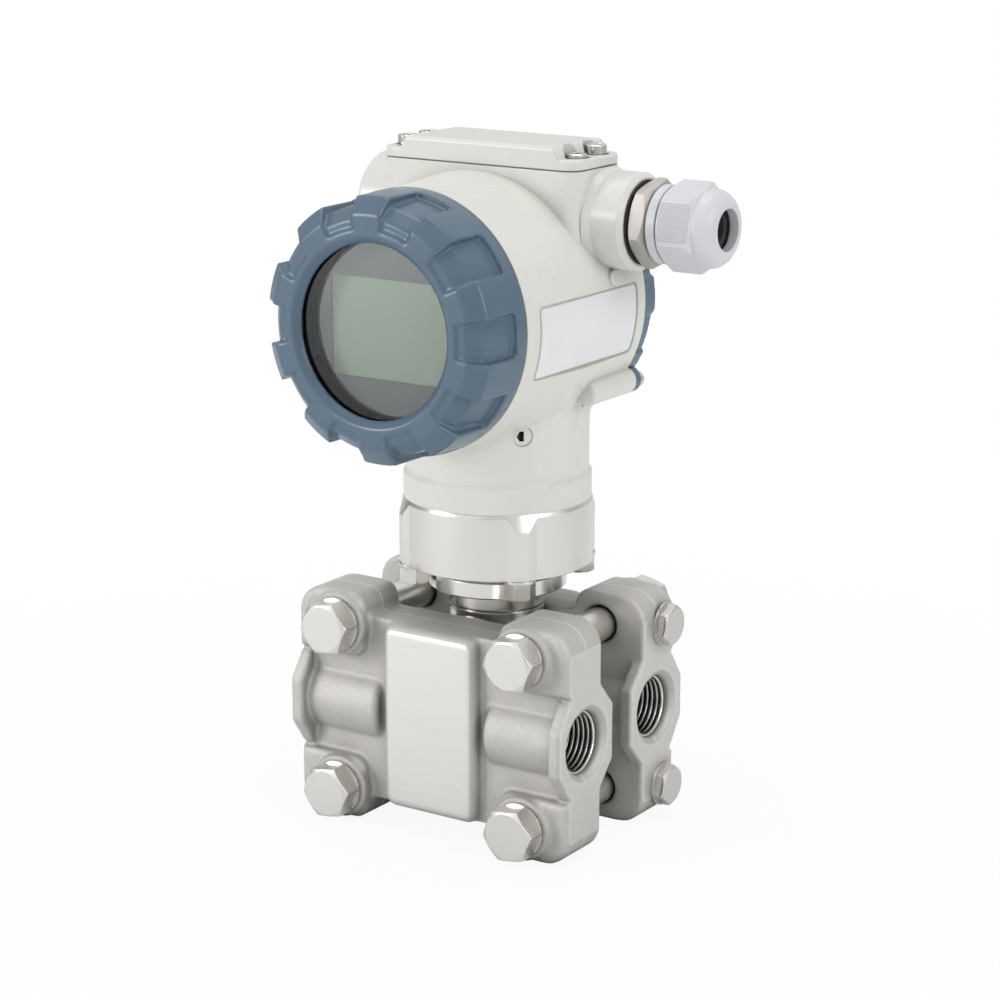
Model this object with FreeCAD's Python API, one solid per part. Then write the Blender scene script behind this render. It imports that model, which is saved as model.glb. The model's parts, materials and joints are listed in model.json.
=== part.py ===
"""Differential pressure transmitter: a two-chamber electronics housing on a clamped neck,
over a measuring capsule held between two process flanges by four tie bolts.

All lengths are in millimetres. While the pieces are made, the neck's axis is X = Y = 0 and
the process ports lie at Z = 0. The display looks along -Y, the cable gland points along +X.
At the end everything is moved so that the origin is the middle of the footprint, at the
height of the surface that the lower flange ears stand on.
"""

import FreeCAD
import Part
import math
import os

V = FreeCAD.Vector
X_AXIS = V(1, 0, 0)
Y_AXIS = V(0, 1, 0)
Z_AXIS = V(0, 0, 1)

# ---------------------------------------------------------------- fits and clearances
RUN = 0.05                      # radial clearance of a thread or a turning fit
SEAT = 0.30                     # gap kept between pieces that only come close
BOLT_CLEAR = 0.40               # radial clearance of a bolt in its hole

# ---------------------------------------------------------------- process flanges
FLANGE_HALF_LENGTH = 51.9       # end faces, along X
FLANGE_OFFSET = -6.3            # the flanges' middle plane lies ahead of the neck's axis
EAR_TOP = 38.4                  # half height over the ears
EAR_INNER = FLANGE_HALF_LENGTH - 25.9  # where an ear begins, along X
BODY_TOP = 30.8                 # half height of the body between the ears
EAR_CORNER = 9.0                # rounding of the outer ear corners
EAR_INNER_CORNER = 5.0
NOTCH_CORNER = 2.4
EAR_BACK = 12.7                 # inner plane of the casting, from the middle plane
EAR_FACE = 33.0                 # outer plane of the ears
EAR_LOW = 17.2                  # where an ear ends towards the port
EAR_EDGE = 2.0
WEB_FACE = 29.8                 # sunk outer plane between ears, pad and ports
PAD_FACE = 34.2                 # outer plane of the raised middle pad
PAD_HALF_WIDTH = 17.8
PAD_CORNER = 4.0
PAD_EDGE = 3.0
BOSS_FACE = 34.7                # machined seat under each bolt head
BOSS_RADIUS = 10.4
BOSS_EDGE = 0.7
PORT_DEPTH = 21.4               # port axis, from the middle plane
PORT_BOSS_RADIUS = 12.9
PORT_BOSS_START = 20.4          # inner end of the port boss, along X
PORT_BOSS_EDGE = 2.5
COLLAR_FRONT = 37.6             # end collar's outer and inner flats
COLLAR_BACK = 5.4
COLLAR_FLAT = 7.0
COLLAR_BACK_FLAT = 9.2
COLLAR_BACK_TOP = 17.4          # where the inner slope meets the ear
COLLAR_HALF_HEIGHT = 15.8
COLLAR_LENGTH = 4.2
PORT_BORE = 10.4                # 1/2-14 NPT, taken at its pitch line
PORT_BORE_DEPTH = 17.0
PORT_MOUTH = 12.2
PORT_MOUTH_DEPTH = 1.6
PASSAGE_RADIUS = 3.2

# ---------------------------------------------------------------- tie bolts and plugs
BOLT_X = FLANGE_HALF_LENGTH - 16.5
BOLT_Z = 27.8
BOLT_RADIUS = 5.55              # 7/16-20 UNF
BOLT_FLATS = 15.9
BOLT_HEAD = 7.0
BOLT_WASHER_FACE = 0.8
BOLT_WASHER_RADIUS = 8.8
BOLT_BEYOND_NUT = 2.2
NUT_HEIGHT = 9.4
HEX_CHAMFER = 30.0              # degrees, on bolt heads and nuts
PLUG_DEPTH_AXIS = 25.6          # end plug axis, from the middle plane
PLUG_HEIGHT = 27.3
PLUG_THREAD = 4.7
PLUG_HOLE_DEPTH = 9.0
PLUG_FLATS = 12.0
PLUG_HEAD = 4.2
PLUG_SEAT_RADIUS = 7.2

# ---------------------------------------------------------------- measuring capsule
CAPSULE_RADIUS = 29.4
CAPSULE_HALF = 12.2
CAPSULE_EDGE = 1.2
GASKET_OUTER = 27.8
GASKET_INNER = 24.2
GASKET_GROOVE = 1.3
CHAMBER_RADIUS = 22.4
CHAMBER_DEPTH = 0.9
DIAPHRAGM_RADIUS = 22.0
DIAPHRAGM_SHEET = 0.35
DIAPHRAGM_WAVES = 4
PEDESTAL_TOP = 31.6

# ---------------------------------------------------------------- stem and clamp collar
STEM_RADIUS = 15.8
DISC_RADIUS = 22.5
DISC_BOTTOM = 37.9
DISC_TOP = 43.6
COLLAR_BOTTOM = 46.5
COLLAR_TOP = 67.9
COLLAR_RADIUS = 30.9
COLLAR_LIP = 3.4
COLLAR_LIP_BORE = 21.6
COLLAR_BORE = 23.8
RIB_RADIUS = 32.4  # flat of the four ribs
RIB_HALF_WIDTH = 5.2            # at the foot of the rib's sloping sides
RIB_FLAT_HALF = 1.7
RIB_CHAMFER = 5.3
RIB_TURN = 48.3
SHOULDER_RADIUS = 23.2
SHOULDER_HEIGHT = 4.0
SPIGOT_RADIUS = 18.0
BARREL_UNDERSIDE = 90.3
SPIGOT_TOP = BARREL_UNDERSIDE + 3.1
SPIGOT_CONE_TOP = 12.5          # radius left by the cone at the spigot's end
SPIGOT_CONE_HEIGHT = 2.7        # lead-in for the head, with room under the covers' skirts
CLAMP_SCREW_CIRCLE = 27.9
CLAMP_SCREW_RADIUS = 2.0
CLAMP_SCREW_FLATS = 8.8
CLAMP_SCREW_HEAD = 5.6
CLAMP_SCREW_WASHER = 1.0
CLAMP_SCREW_FLANGE = 5.1
CLAMP_SCREW_REACH = 4.2         # thread length in the housing's skirt

# ---------------------------------------------------------------- housing
COVER_RADIUS = 41.0             # outer radius of both covers, which the barrel follows
AXIS_Z = BARREL_UNDERSIDE + COVER_RADIUS  # height of the barrel's axis over the ports
BARREL_FRONT = -45.6
BARREL_MIDDLE = -12.3
BARREL_REAR = 21.7
BARREL_FRONT_RADIUS = COVER_RADIUS + 0.2
BARREL_MIDDLE_RADIUS = COVER_RADIUS + 1.8
BARREL_REAR_RADIUS = COVER_RADIUS + 0.8
CHAMBER_THREAD = COVER_RADIUS - 3.75  # thread line of both chambers
FRONT_CHAMBER = CHAMBER_THREAD - 2.85
FRONT_CHAMBER_FLOOR = -17.0
REAR_CHAMBER = CHAMBER_THREAD - 3.25
REAR_CHAMBER_FLOOR = -6.0
THREAD_LENGTH = 12.0
SEAL_GROOVE_RADIUS = CHAMBER_THREAD + 2.15
SEAL_GROOVE_DEPTH = 2.1
SEAL_SECTION = 0.85
NECK_RADIUS = 29.6
SKIRT_RADIUS = 30.5
SKIRT_BOTTOM = 67.9
SKIRT_TOP = 77.4
SKIRT_SLOPE = 1.6
NECK_BORE_TOP = BARREL_UNDERSIDE + 3.9
WIRE_WAY = 3.5
WIRE_HOLE = 3.0
WIRE_HOLE_RISE = 20.0
WEB_TO_BARREL = 0.57 * (COVER_RADIUS - NECK_RADIUS)  # casting radius between neck and barrel
BOX_HALF_WIDTH = 36.5
BOX_FRONT = -12.3
BOX_REAR = 16.1
BOX_TOP = AXIS_Z + COVER_RADIUS + 3.7
BOX_CORNER = 5.0
LID_BASE = 3.2
LID_TOP = BOX_TOP + 7.0
LID_SEAL = 0.4
LID_SEAL_INSET = 1.0
PLATEAU_LEFT = 9.9 - BOX_HALF_WIDTH
PLATEAU_RIGHT = BOX_HALF_WIDTH - 8.1
PLATEAU_SLOPE = 2.2
LID_SCREW_X = BOX_HALF_WIDTH - 4.9
LID_SCREW_Y = 5.7  # either side of the gland axis
LID_SCREW_POCKET = 4.2
LID_SCREW_SINK = 0.6
LID_SCREW_DEEP_SINK = 2.3       # the counterbored corner
LID_SCREW_HEAD = 3.35
LID_SCREW_HEAD_HEIGHT = 3.6
LID_SCREW_RADIUS = 2.0
LID_SCREW_REACH = 8.0
KEY_POCKET_HALF = BOX_HALF_WIDTH - 18.5
KEY_POCKET_DEPTH = 5.0
KEY_POCKET_HALF_DEPTH = 6.5
KEY_SPACING = 16.0
KEY_RADIUS = 3.2
KEY_STEM = 2.0
KEY_TRAVEL = 1.2
LID_MIDDLE_Y = 1.9
GLAND_Y = 7.4
GLAND_Z = BOX_TOP - 16.7
CONDUIT_END = BOX_HALF_WIDTH + 13.4
CONDUIT_RADIUS = 15.3
CONDUIT_FLARE = 16.6
CONDUIT_EDGE = 1.5
CONDUIT_ROOT = BOX_HALF_WIDTH - 16.5
CONDUIT_BORE = 9.2              # M20 x 1.5, taken at its pitch line
CONDUIT_BORE_END = 13.0
CONDUIT_PLUG = 12.0
LABEL_FRONT = -38.4
LABEL_REAR = 16.2
LABEL_LOW_TURN = -20.8          # degrees about the barrel
LABEL_HIGH_TURN = 9.2
LABEL_SEAT = COVER_RADIUS + 0.2  # radius of the shallow seat in the barrel
LABEL_SHEET = 0.5
LABEL_CORNER = 1.6
LABEL_MARGIN = 0.7
CASTING_PAD_TURN = 14.2         # round pad on the barrel, over the label
CASTING_PAD_Y = 3.0
CASTING_PAD_RADIUS = 2.5
CASTING_PAD_RISE = 0.7
DIMPLE_TURN = 9.2               # small dimple in the neck, under the clamp boss
DIMPLE_HEIGHT = 99.8
DIMPLE_RADIUS = 0.8
DIMPLE_DEPTH = 1.2
LOCK_SCREW_TURN = -41.0         # degrees about the neck from +X
LOCK_SCREW_HEIGHT = NECK_BORE_TOP - 1.2
LOCK_SCREW_RADIUS = 3.2
LOCK_SCREW_SOCKET = 4.2
LOCK_SCREW_LENGTH = NECK_RADIUS - 18.4
EAR_BOSS_TURN = -37.0           # clamp boss, degrees about the barrel
EAR_BOSS_CIRCLE = COVER_RADIUS + 2.2
EAR_BOSS_RADIUS = 4.3
EAR_BOSS_FRONT = -2.5
EAR_BOSS_EDGE = 1.4
CLAMP_PLATE = 3.0
CLAMP_PIN_RADIUS = 1.5
CLAMP_PIN_HEAD = 2.4

# ---------------------------------------------------------------- covers
FRONT_RIM = -45.9               # back of the front cover's rim
COVER_CREASE = -65.4
COVER_FACE = -69.4
COVER_FACE_RADIUS = COVER_RADIUS - 4.4
POCKET_REAR = -50.8
POCKET_INNER = COVER_RADIUS - 9.8
POCKET_SINK = 1.7
LUGS = 10
LUG_PHASE = 1.3                 # middle of the first pocket, degrees from +X
POCKET_ANGLE = 19.0
WINDOW_RADIUS = COVER_RADIUS - 14.1
WINDOW_CHAMFER = 2.1
GLASS_RADIUS = CHAMBER_THREAD - 6.05
GLASS_FRONT = -66.6
GLASS_THICKNESS = 4.0
RETAINER_HEIGHT = 2.6
RETAINER_WALL = 3.0
COVER_CAVITY = CHAMBER_THREAD - 3.65
SPIGOT_LENGTH = 10.0
REAR_RIM = 22.0
REAR_COVER_DEPTH = 10.2
REAR_COVER_CHAMFER = 2.4
REAR_LUG_SINK = 1.1
REAR_LUG_PHASE = -16.0
REAR_COVER_WALL = 3.4

# ---------------------------------------------------------------- display and electronics
BEZEL_FACE = -58.6
BEZEL_RADIUS = GLASS_RADIUS - 2.8
BEZEL_EDGE = 0.5
BEZEL_THICKNESS = 4.0
LCD_WIDTH = 44.4
LCD_HEIGHT = 32.0
LCD_DROP = 0.8
LCD_SHEET = 0.8
LCD_SINK = 0.5
DISPLAY_BODY = BEZEL_RADIUS - 1.4
MODULE_RADIUS = FRONT_CHAMBER - 3.4
MODULE_FRONT = -42.0
MODULE_BACK = -18.0
STANDOFF_RADIUS = 2.2
STANDOFF_CIRCLE = 24.0
TERMINAL_HALF = 21.0
TERMINAL_HEIGHT = 15.0
TERMINAL_DEPTH = 11.0
TERMINAL_COUNT = 3
TERMINAL_PITCH = 12.0
TERMINAL_SCREW = 2.6

# ---------------------------------------------------------------- cable gland
GLAND_FLATS = 24.6
LOCK_NUT_TURN = 14.0  # the hexagons' turns about the gland's axis
CAP_TURN = 18.0
GLAND_WASHER = 0.7
LOCK_NUT = 5.8
GLAND_WAIST = 11.0
GLAND_WAIST_LENGTH = 0.6
GLAND_THREAD = 15.0
GLAND_BORE = 6.6
GLAND_COLLAR = 12.3
GLAND_COLLAR_LENGTH = 2.9
CAP_HEX = 12.9
CAP_DOME_RADIUS = 12.2
CAP_DOME = 5.9
CAP_ROUND = 5.2
CAP_MOUTH = 6.6
CAP_THREAD = 9.6
CAP_GRIP = 7.0
SEAL_RING_BORE = 5.2
SEAL_RING_OUTER = 8.7


# ================================================================ general helpers
def rod(start, direction, radius, length):
    """Solid cylinder from a start point."""
    return Part.makeCylinder(radius, length, start, direction)


def tube(start, direction, outer, inner, length):
    """Hollow cylinder from a start point."""
    return rod(start, direction, outer, length).cut(rod(start, direction, inner, length))


def block(low, high):
    """Box between two corners."""
    return Part.makeBox(high.x - low.x, high.y - low.y, high.z - low.z, low)


def turned(profile, origin, direction, sweep=360.0):
    """Solid of revolution. The profile is a list of (distance along the axis, radius)."""
    side = X_AXIS if abs(direction.x) < 0.5 else Z_AXIS
    points = [origin + direction * along + side * radius for along, radius in profile]
    face = Part.Face(Part.makePolygon(points + [points[0]]))
    return face.revolve(origin, direction, sweep)


def hex_prism(start, direction, flats, height, turn=0.0):
    """Hexagonal prism whose corners are turned about its axis by an angle in degrees."""
    corner = flats / math.sqrt(3.0)
    side = X_AXIS if abs(direction.x) < 0.5 else Y_AXIS
    other = direction.cross(side)
    points = []
    for index in range(6):
        angle = math.radians(60.0 * index + turn)
        points.append(start + side * (corner * math.cos(angle)) + other * (corner * math.sin(angle)))
    face = Part.Face(Part.makePolygon(points + [points[0]]))
    return face.extrude(direction * height)


def hex_head(start, direction, flats, height, turn=0.0, both_ends=False):
    """Hexagon whose free end has the turned chamfer of a bolt head."""
    corner = flats / math.sqrt(3.0)
    flat_radius = flats / 2.0 * 0.94
    drop = (corner - flat_radius) * math.tan(math.radians(HEX_CHAMFER))
    profile = [(0.0, 0.0), (0.0, corner), (height - drop, corner), (height, flat_radius), (height, 0.0)]
    if both_ends:
        profile[1:2] = [(0.0, flat_radius), (drop, corner)]
    envelope = turned(profile, start, direction)
    return hex_prism(start, direction, flats, height, turn).common(envelope)


def polar(radius, degrees, height):
    """Point about the neck's axis."""
    angle = math.radians(degrees)
    return V(radius * math.cos(angle), radius * math.sin(angle), height)


def around_barrel(radius, degrees, y):
    """Point about the barrel's axis."""
    angle = math.radians(degrees)
    return V(radius * math.cos(angle), y, AXIS_Z + radius * math.sin(angle))


def barrel_turned(profile, sweep=360.0):
    """Solid of revolution about the barrel's axis, from (y, radius) pairs."""
    return turned(profile, V(0, 0, AXIS_Z), Y_AXIS, sweep)


def edges_along(shape, direction, test):
    """Straight edges parallel to a direction whose middle passes a test."""
    found = []
    for edge in shape.Edges:
        if len(edge.Vertexes) != 2 or not isinstance(edge.Curve, Part.Line):
            continue
        run = edge.Vertexes[1].Point.sub(edge.Vertexes[0].Point)
        if run.Length < 0.2 or abs(abs(run.normalize().dot(direction)) - 1.0) > 1e-4:
            continue
        if test(edge.CenterOfMass):
            found.append(edge)
    return found


def rounded(shape, radius, edges):
    """Fillet a set of edges."""
    return shape.makeFillet(radius, edges)


def solids_only(shape):
    """Clean solid or compound of separate solids."""
    tidy = shape.removeSplitter()
    if len(tidy.Solids) == 1:
        return tidy.Solids[0]
    return Part.makeCompound(tidy.Solids)


# ================================================================ process flanges
def web_plate():
    """The casting's flat outline: a body with a corner for each ear."""
    end = FLANGE_HALF_LENGTH
    outline = [(-end, -EAR_TOP), (-EAR_INNER, -EAR_TOP), (-EAR_INNER, -BODY_TOP),
               (EAR_INNER, -BODY_TOP), (EAR_INNER, -EAR_TOP), (end, -EAR_TOP),
               (end, EAR_TOP), (EAR_INNER, EAR_TOP), (EAR_INNER, BODY_TOP),
               (-EAR_INNER, BODY_TOP), (-EAR_INNER, EAR_TOP), (-end, EAR_TOP)]
    points = [V(x, -WEB_FACE, z) for x, z in outline]
    plate = Part.Face(Part.makePolygon(points + [points[0]])).extrude(V(0, WEB_FACE - EAR_BACK, 0))
    outer = edges_along(plate, Y_AXIS, lambda p: abs(p.x) > end - 1)
    plate = rounded(plate, EAR_CORNER, outer)
    inner = edges_along(plate, Y_AXIS, lambda p: abs(abs(p.x) - EAR_INNER) < 1 and abs(p.z) > BODY_TOP + 1)
    plate = rounded(plate, EAR_INNER_CORNER, inner)
    notch = edges_along(plate, Y_AXIS, lambda p: abs(abs(p.x) - EAR_INNER) < 1
                        and abs(abs(p.z) - BODY_TOP) < 0.1)
    return rounded(plate, NOTCH_CORNER, notch)


def ear(side, level):
    """Thick lobe round one bolt, cut flat where the end face is machined."""
    end = FLANGE_HALF_LENGTH
    low = V(EAR_INNER, -EAR_FACE, EAR_LOW)
    high = V(end, -EAR_BACK, EAR_TOP)
    lobe = block(low, high)
    outer = edges_along(lobe, Y_AXIS, lambda p: p.x > end - 1 and p.z > EAR_TOP - 1)
    lobe = rounded(lobe, EAR_CORNER, outer)
    inner = edges_along(lobe, Y_AXIS, lambda p: p.x < EAR_INNER + 1 and p.z > EAR_TOP - 1)
    lobe = rounded(lobe, EAR_INNER_CORNER, inner)
    lower = edges_along(lobe, Y_AXIS, lambda p: p.x < EAR_INNER + 1 and p.z < EAR_LOW + 1)
    lobe = rounded(lobe, EAR_INNER_CORNER, lower)
    rim = [edge for edge in lobe.Edges if edge.BoundBox.YMax < -EAR_FACE + 0.01
           and edge.BoundBox.XMin < end - 0.01]
    lobe = rounded(lobe, EAR_EDGE, rim)
    if side < 0:
        lobe = lobe.mirror(V(0, 0, 0), X_AXIS)
    if level < 0:
        lobe = lobe.mirror(V(0, 0, 0), Z_AXIS)
    return lobe


def middle_pad():
    """Raised middle block with soft edges."""
    pad = block(V(-PAD_HALF_WIDTH, -PAD_FACE, -BODY_TOP), V(PAD_HALF_WIDTH, -EAR_BACK, BODY_TOP))
    pad = rounded(pad, PAD_CORNER, edges_along(pad, Y_AXIS, lambda p: True))
    rim = [edge for edge in pad.Edges if edge.BoundBox.YMax < -PAD_FACE + 0.01]
    return rounded(pad, PAD_EDGE, rim)


def port_boss(side):
    """Round boss along a port, with a soft inner end."""
    length = FLANGE_HALF_LENGTH - COLLAR_LENGTH + 0.5 - PORT_BOSS_START
    boss = rod(V(side * PORT_BOSS_START, -PORT_DEPTH, 0), V(side, 0, 0), PORT_BOSS_RADIUS, length)
    inner = [edge for edge in boss.Edges if abs(abs(edge.CenterOfMass.x) - PORT_BOSS_START) < 0.01
             and edge.BoundBox.ZLength > PORT_BOSS_RADIUS]
    return rounded(boss, PORT_BOSS_EDGE, inner)


def bolt_boss(side, level):
    """Round machined seat under a bolt head."""
    boss = rod(V(side * BOLT_X, -BOSS_FACE, level * BOLT_Z), Y_AXIS, BOSS_RADIUS, BOSS_FACE - EAR_BACK)
    rim = [edge for edge in boss.Edges if edge.BoundBox.YMax < -BOSS_FACE + 0.01]
    return rounded(boss, BOSS_EDGE, rim)


def end_collar(side):
    """Octagonal collar round a port, flush with the end face."""
    front_slope = COLLAR_FRONT - 1.1 * (COLLAR_HALF_HEIGHT - COLLAR_FLAT) / 1.6
    upper = [(COLLAR_FRONT, COLLAR_FLAT), (front_slope, COLLAR_HALF_HEIGHT),
             (EAR_BACK, COLLAR_BACK_TOP), (COLLAR_BACK, COLLAR_BACK_FLAT)]
    outline = upper + [(y, -z) for y, z in reversed(upper)]
    start = FLANGE_HALF_LENGTH - COLLAR_LENGTH
    points = [V(side * start, -y, z) for y, z in outline]
    return Part.Face(Part.makePolygon(points + [points[0]])).extrude(V(side * COLLAR_LENGTH, 0, 0))


def flange_body():
    """The casting before it is drilled, with its pad, ears, bolt seats and port bosses."""
    body = web_plate().fuse(middle_pad())
    room = rod(V(0, -EAR_BACK, 0), Y_AXIS, CAPSULE_RADIUS + 1.4, EAR_BACK)
    for side in (-1, 1):
        body = body.fuse(port_boss(side).cut(room))
        body = body.fuse(end_collar(side))
        for level in (-1, 1):
            body = body.fuse(ear(side, level)).fuse(bolt_boss(side, level))
    return body.removeSplitter()


def process_flange(plugged):
    """One flange, with its outer side towards -Y; a plugged one has two tapped holes at -X."""
    body = flange_body()
    end = FLANGE_HALF_LENGTH
    cuts = [rod(V(-end + 2, -PORT_DEPTH, 0), X_AXIS, PASSAGE_RADIUS, 2 * end - 4)]
    for side in (-1, 1):
        mouth = V(side * end, -PORT_DEPTH, 0)
        inward = V(-side, 0, 0)
        cuts.append(rod(mouth, inward, PORT_BORE, PORT_BORE_DEPTH))
        cuts.append(Part.makeCone(PORT_MOUTH, PORT_BORE, PORT_MOUTH_DEPTH, mouth, inward))
        for level in (-1, 1):
            start = V(side * BOLT_X, -BOSS_FACE - 1, level * BOLT_Z)
            cuts.append(rod(start, Y_AXIS, BOLT_RADIUS + BOLT_CLEAR, BOSS_FACE + 1))
    if plugged:
        for level in (-1, 1):
            start = V(-end, -PLUG_DEPTH_AXIS, level * PLUG_HEIGHT)
            cuts.append(rod(start, X_AXIS, PLUG_THREAD + RUN, PLUG_HOLE_DEPTH))
    cuts.append(rod(V(0, -PORT_DEPTH, 0), Y_AXIS, PASSAGE_RADIUS, PORT_DEPTH))
    cuts.append(rod(V(0, -EAR_BACK - CHAMBER_DEPTH, 0), Y_AXIS, CHAMBER_RADIUS, CHAMBER_DEPTH + 1))
    groove = V(0, -EAR_BACK - GASKET_GROOVE, 0)
    cuts.append(tube(groove, Y_AXIS, GASKET_OUTER + RUN, GASKET_INNER - RUN, GASKET_GROOVE + 1))
    return body.cut(Part.makeCompound(cuts))


def place_front(shape):
    """From the flange's own frame to the front flange's place."""
    return shape.translated(V(0, FLANGE_OFFSET, 0))


def place_rear(shape):
    """The rear flange is the same casting turned half round, so its end plugs are at +X."""
    copy = shape.copy()
    copy.rotate(V(0, 0, 0), Z_AXIS, 180)
    return copy.translated(V(0, FLANGE_OFFSET, 0))


def corners():
    """The four tie bolt places, as (x, z)."""
    return [(side * BOLT_X, level * BOLT_Z) for side in (-1, 1) for level in (-1, 1)]


def tie_bolt(x, z):
    """Hexagon head bolt with a washer face, from the front."""
    front = FLANGE_OFFSET - BOSS_FACE
    grip = 2 * BOSS_FACE + NUT_HEIGHT + BOLT_BEYOND_NUT
    shank = rod(V(x, front, z), Y_AXIS, BOLT_RADIUS, grip)
    tip = [edge for edge in shank.Edges if abs(edge.BoundBox.YMin - front - grip) < 0.01]
    shank = shank.makeChamfer(0.8, tip)
    washer = rod(V(x, front - BOLT_WASHER_FACE, z), Y_AXIS, BOLT_WASHER_RADIUS, BOLT_WASHER_FACE)
    head = hex_head(V(x, front - BOLT_WASHER_FACE, z), V(0, -1, 0), BOLT_FLATS, BOLT_HEAD, turn=8.0)
    return shank.fuse(washer).fuse(head)


def tie_nut(x, z):
    """Hexagon nut on the rear flange's seat."""
    rear = FLANGE_OFFSET + BOSS_FACE
    nut = hex_head(V(x, rear, z), Y_AXIS, BOLT_FLATS, NUT_HEIGHT, turn=14.0)
    return nut.cut(rod(V(x, rear - 1, z), Y_AXIS, BOLT_RADIUS + RUN, NUT_HEIGHT + 2))


def end_plug(level):
    """Flat hexagon plug in the flange's end face, in the flange's own frame."""
    face = V(-FLANGE_HALF_LENGTH, -PLUG_DEPTH_AXIS, level * PLUG_HEIGHT)
    outward = V(-1, 0, 0)
    seat = rod(face, outward, PLUG_SEAT_RADIUS, 0.7)
    head = hex_head(face, outward, PLUG_FLATS, PLUG_HEAD, turn=20.0)
    thread = rod(face, X_AXIS, PLUG_THREAD, PLUG_HOLE_DEPTH - 1.5)
    return seat.fuse(head).fuse(thread)


# ================================================================ measuring capsule
def sensor_capsule():
    """Round capsule clamped between the flanges, with the pedestal that the stem stands on."""
    half = CAPSULE_HALF
    recess = DIAPHRAGM_SHEET + 0.5
    profile = [(-half, 0.0), (-half, CAPSULE_RADIUS - CAPSULE_EDGE), (-half + CAPSULE_EDGE, CAPSULE_RADIUS),
               (half - CAPSULE_EDGE, CAPSULE_RADIUS), (half, CAPSULE_RADIUS - CAPSULE_EDGE), (half, 0.0)]
    disc = turned(profile, V(0, FLANGE_OFFSET, 0), Y_AXIS)
    for side in (-1, 1):
        face = V(0, FLANGE_OFFSET + side * half, 0)
        disc = disc.cut(rod(face, V(0, -side, 0), DIAPHRAGM_RADIUS + RUN, recess))
    pedestal = rod(V(0, 0, CAPSULE_RADIUS - 9), Z_AXIS, STEM_RADIUS, PEDESTAL_TOP - CAPSULE_RADIUS + 9)
    slab = block(V(-STEM_RADIUS, FLANGE_OFFSET - half + 1, 0),
                 V(STEM_RADIUS, FLANGE_OFFSET + half - 1, PEDESTAL_TOP))
    oil_way = rod(V(0, FLANGE_OFFSET, 0), Z_AXIS, 2.0, PEDESTAL_TOP + 1)
    return disc.fuse(pedestal.common(slab)).cut(oil_way)


def diaphragm(side):
    """Thin corrugated disc that closes one side of the capsule."""
    seat = FLANGE_OFFSET + side * (CAPSULE_HALF - DIAPHRAGM_SHEET - 0.5)
    outward = V(0, side, 0)
    steps = 2 * DIAPHRAGM_WAVES
    crest = 0.5
    lower = [(0.0, 0.0)]
    upper = [(DIAPHRAGM_SHEET, 0.0)]
    for index in range(1, steps + 1):
        radius = DIAPHRAGM_RADIUS * (0.25 + 0.65 * index / steps)
        lift = crest if index % 2 else 0.0
        lower.append((lift, radius))
        upper.append((lift + DIAPHRAGM_SHEET, radius))
    lower.append((0.0, DIAPHRAGM_RADIUS))
    upper.append((DIAPHRAGM_SHEET, DIAPHRAGM_RADIUS))
    return turned(lower + upper[::-1], V(0, seat, 0), outward)


def process_gasket(side):
    """Flat ring in the flange's groove, pressed on the capsule's face."""
    start = V(0, FLANGE_OFFSET + side * CAPSULE_HALF, 0)
    height = EAR_BACK + GASKET_GROOVE - CAPSULE_HALF
    return tube(start, V(0, side, 0), GASKET_OUTER, GASKET_INNER, height)


# ================================================================ stem and clamp collar
def sensor_stem():
    """Turned neck piece: foot, disc, waist in the collar's lip, and the shoulder it holds."""
    shoulder = COLLAR_BOTTOM + COLLAR_LIP + RUN
    profile = [(PEDESTAL_TOP, 0.0), (PEDESTAL_TOP, STEM_RADIUS - 0.8), (PEDESTAL_TOP + 0.8, STEM_RADIUS),
               (DISC_BOTTOM, STEM_RADIUS), (DISC_BOTTOM, DISC_RADIUS - 0.5), (DISC_BOTTOM + 0.5, DISC_RADIUS),
               (DISC_TOP - 0.5, DISC_RADIUS), (DISC_TOP, DISC_RADIUS - 0.5),
               (DISC_TOP, COLLAR_LIP_BORE - RUN), (shoulder, COLLAR_LIP_BORE - RUN),
               (shoulder, SHOULDER_RADIUS), (shoulder + SHOULDER_HEIGHT, SHOULDER_RADIUS),
               (shoulder + SHOULDER_HEIGHT, SPIGOT_RADIUS), (SPIGOT_TOP - SPIGOT_CONE_HEIGHT, SPIGOT_RADIUS),
               (SPIGOT_TOP, SPIGOT_CONE_TOP), (SPIGOT_TOP, 0.0)]
    stem = turned(profile, V(0, 0, 0), Z_AXIS)
    return stem.cut(rod(V(0, 0, PEDESTAL_TOP - 1), Z_AXIS, 4.0, SPIGOT_TOP))


def collar_block():
    """Ring with four ribs whose tops are turned to a cone."""
    height = COLLAR_TOP - COLLAR_BOTTOM
    base = V(0, 0, COLLAR_BOTTOM)
    ring = rod(base, Z_AXIS, COLLAR_RADIUS, height)
    foot = math.sqrt(COLLAR_RADIUS ** 2 - RIB_HALF_WIDTH ** 2) - 0.1
    slope = [(COLLAR_BOTTOM, 0.0), (COLLAR_BOTTOM, RIB_RADIUS), (COLLAR_TOP - RIB_CHAMFER, RIB_RADIUS),
             (COLLAR_TOP, SKIRT_RADIUS), (COLLAR_TOP, 0.0)]
    for angle in clamp_angles():
        outline = [V(STEM_RADIUS, -RIB_HALF_WIDTH, COLLAR_BOTTOM), V(foot, -RIB_HALF_WIDTH, COLLAR_BOTTOM),
                   V(RIB_RADIUS, -RIB_FLAT_HALF, COLLAR_BOTTOM), V(RIB_RADIUS, RIB_FLAT_HALF, COLLAR_BOTTOM),
                   V(foot, RIB_HALF_WIDTH, COLLAR_BOTTOM), V(STEM_RADIUS, RIB_HALF_WIDTH, COLLAR_BOTTOM)]
        rib = Part.Face(Part.makePolygon(outline + outline[:1])).extrude(V(0, 0, height))
        rib.rotate(V(0, 0, 0), Z_AXIS, angle)
        ring = ring.fuse(rib)
    return ring.common(turned(slope, V(0, 0, 0), Z_AXIS)).removeSplitter()


def clamp_angles():
    """Directions of the four clamp screws."""
    return [RIB_TURN + 90.0 * index for index in range(4)]


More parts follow.
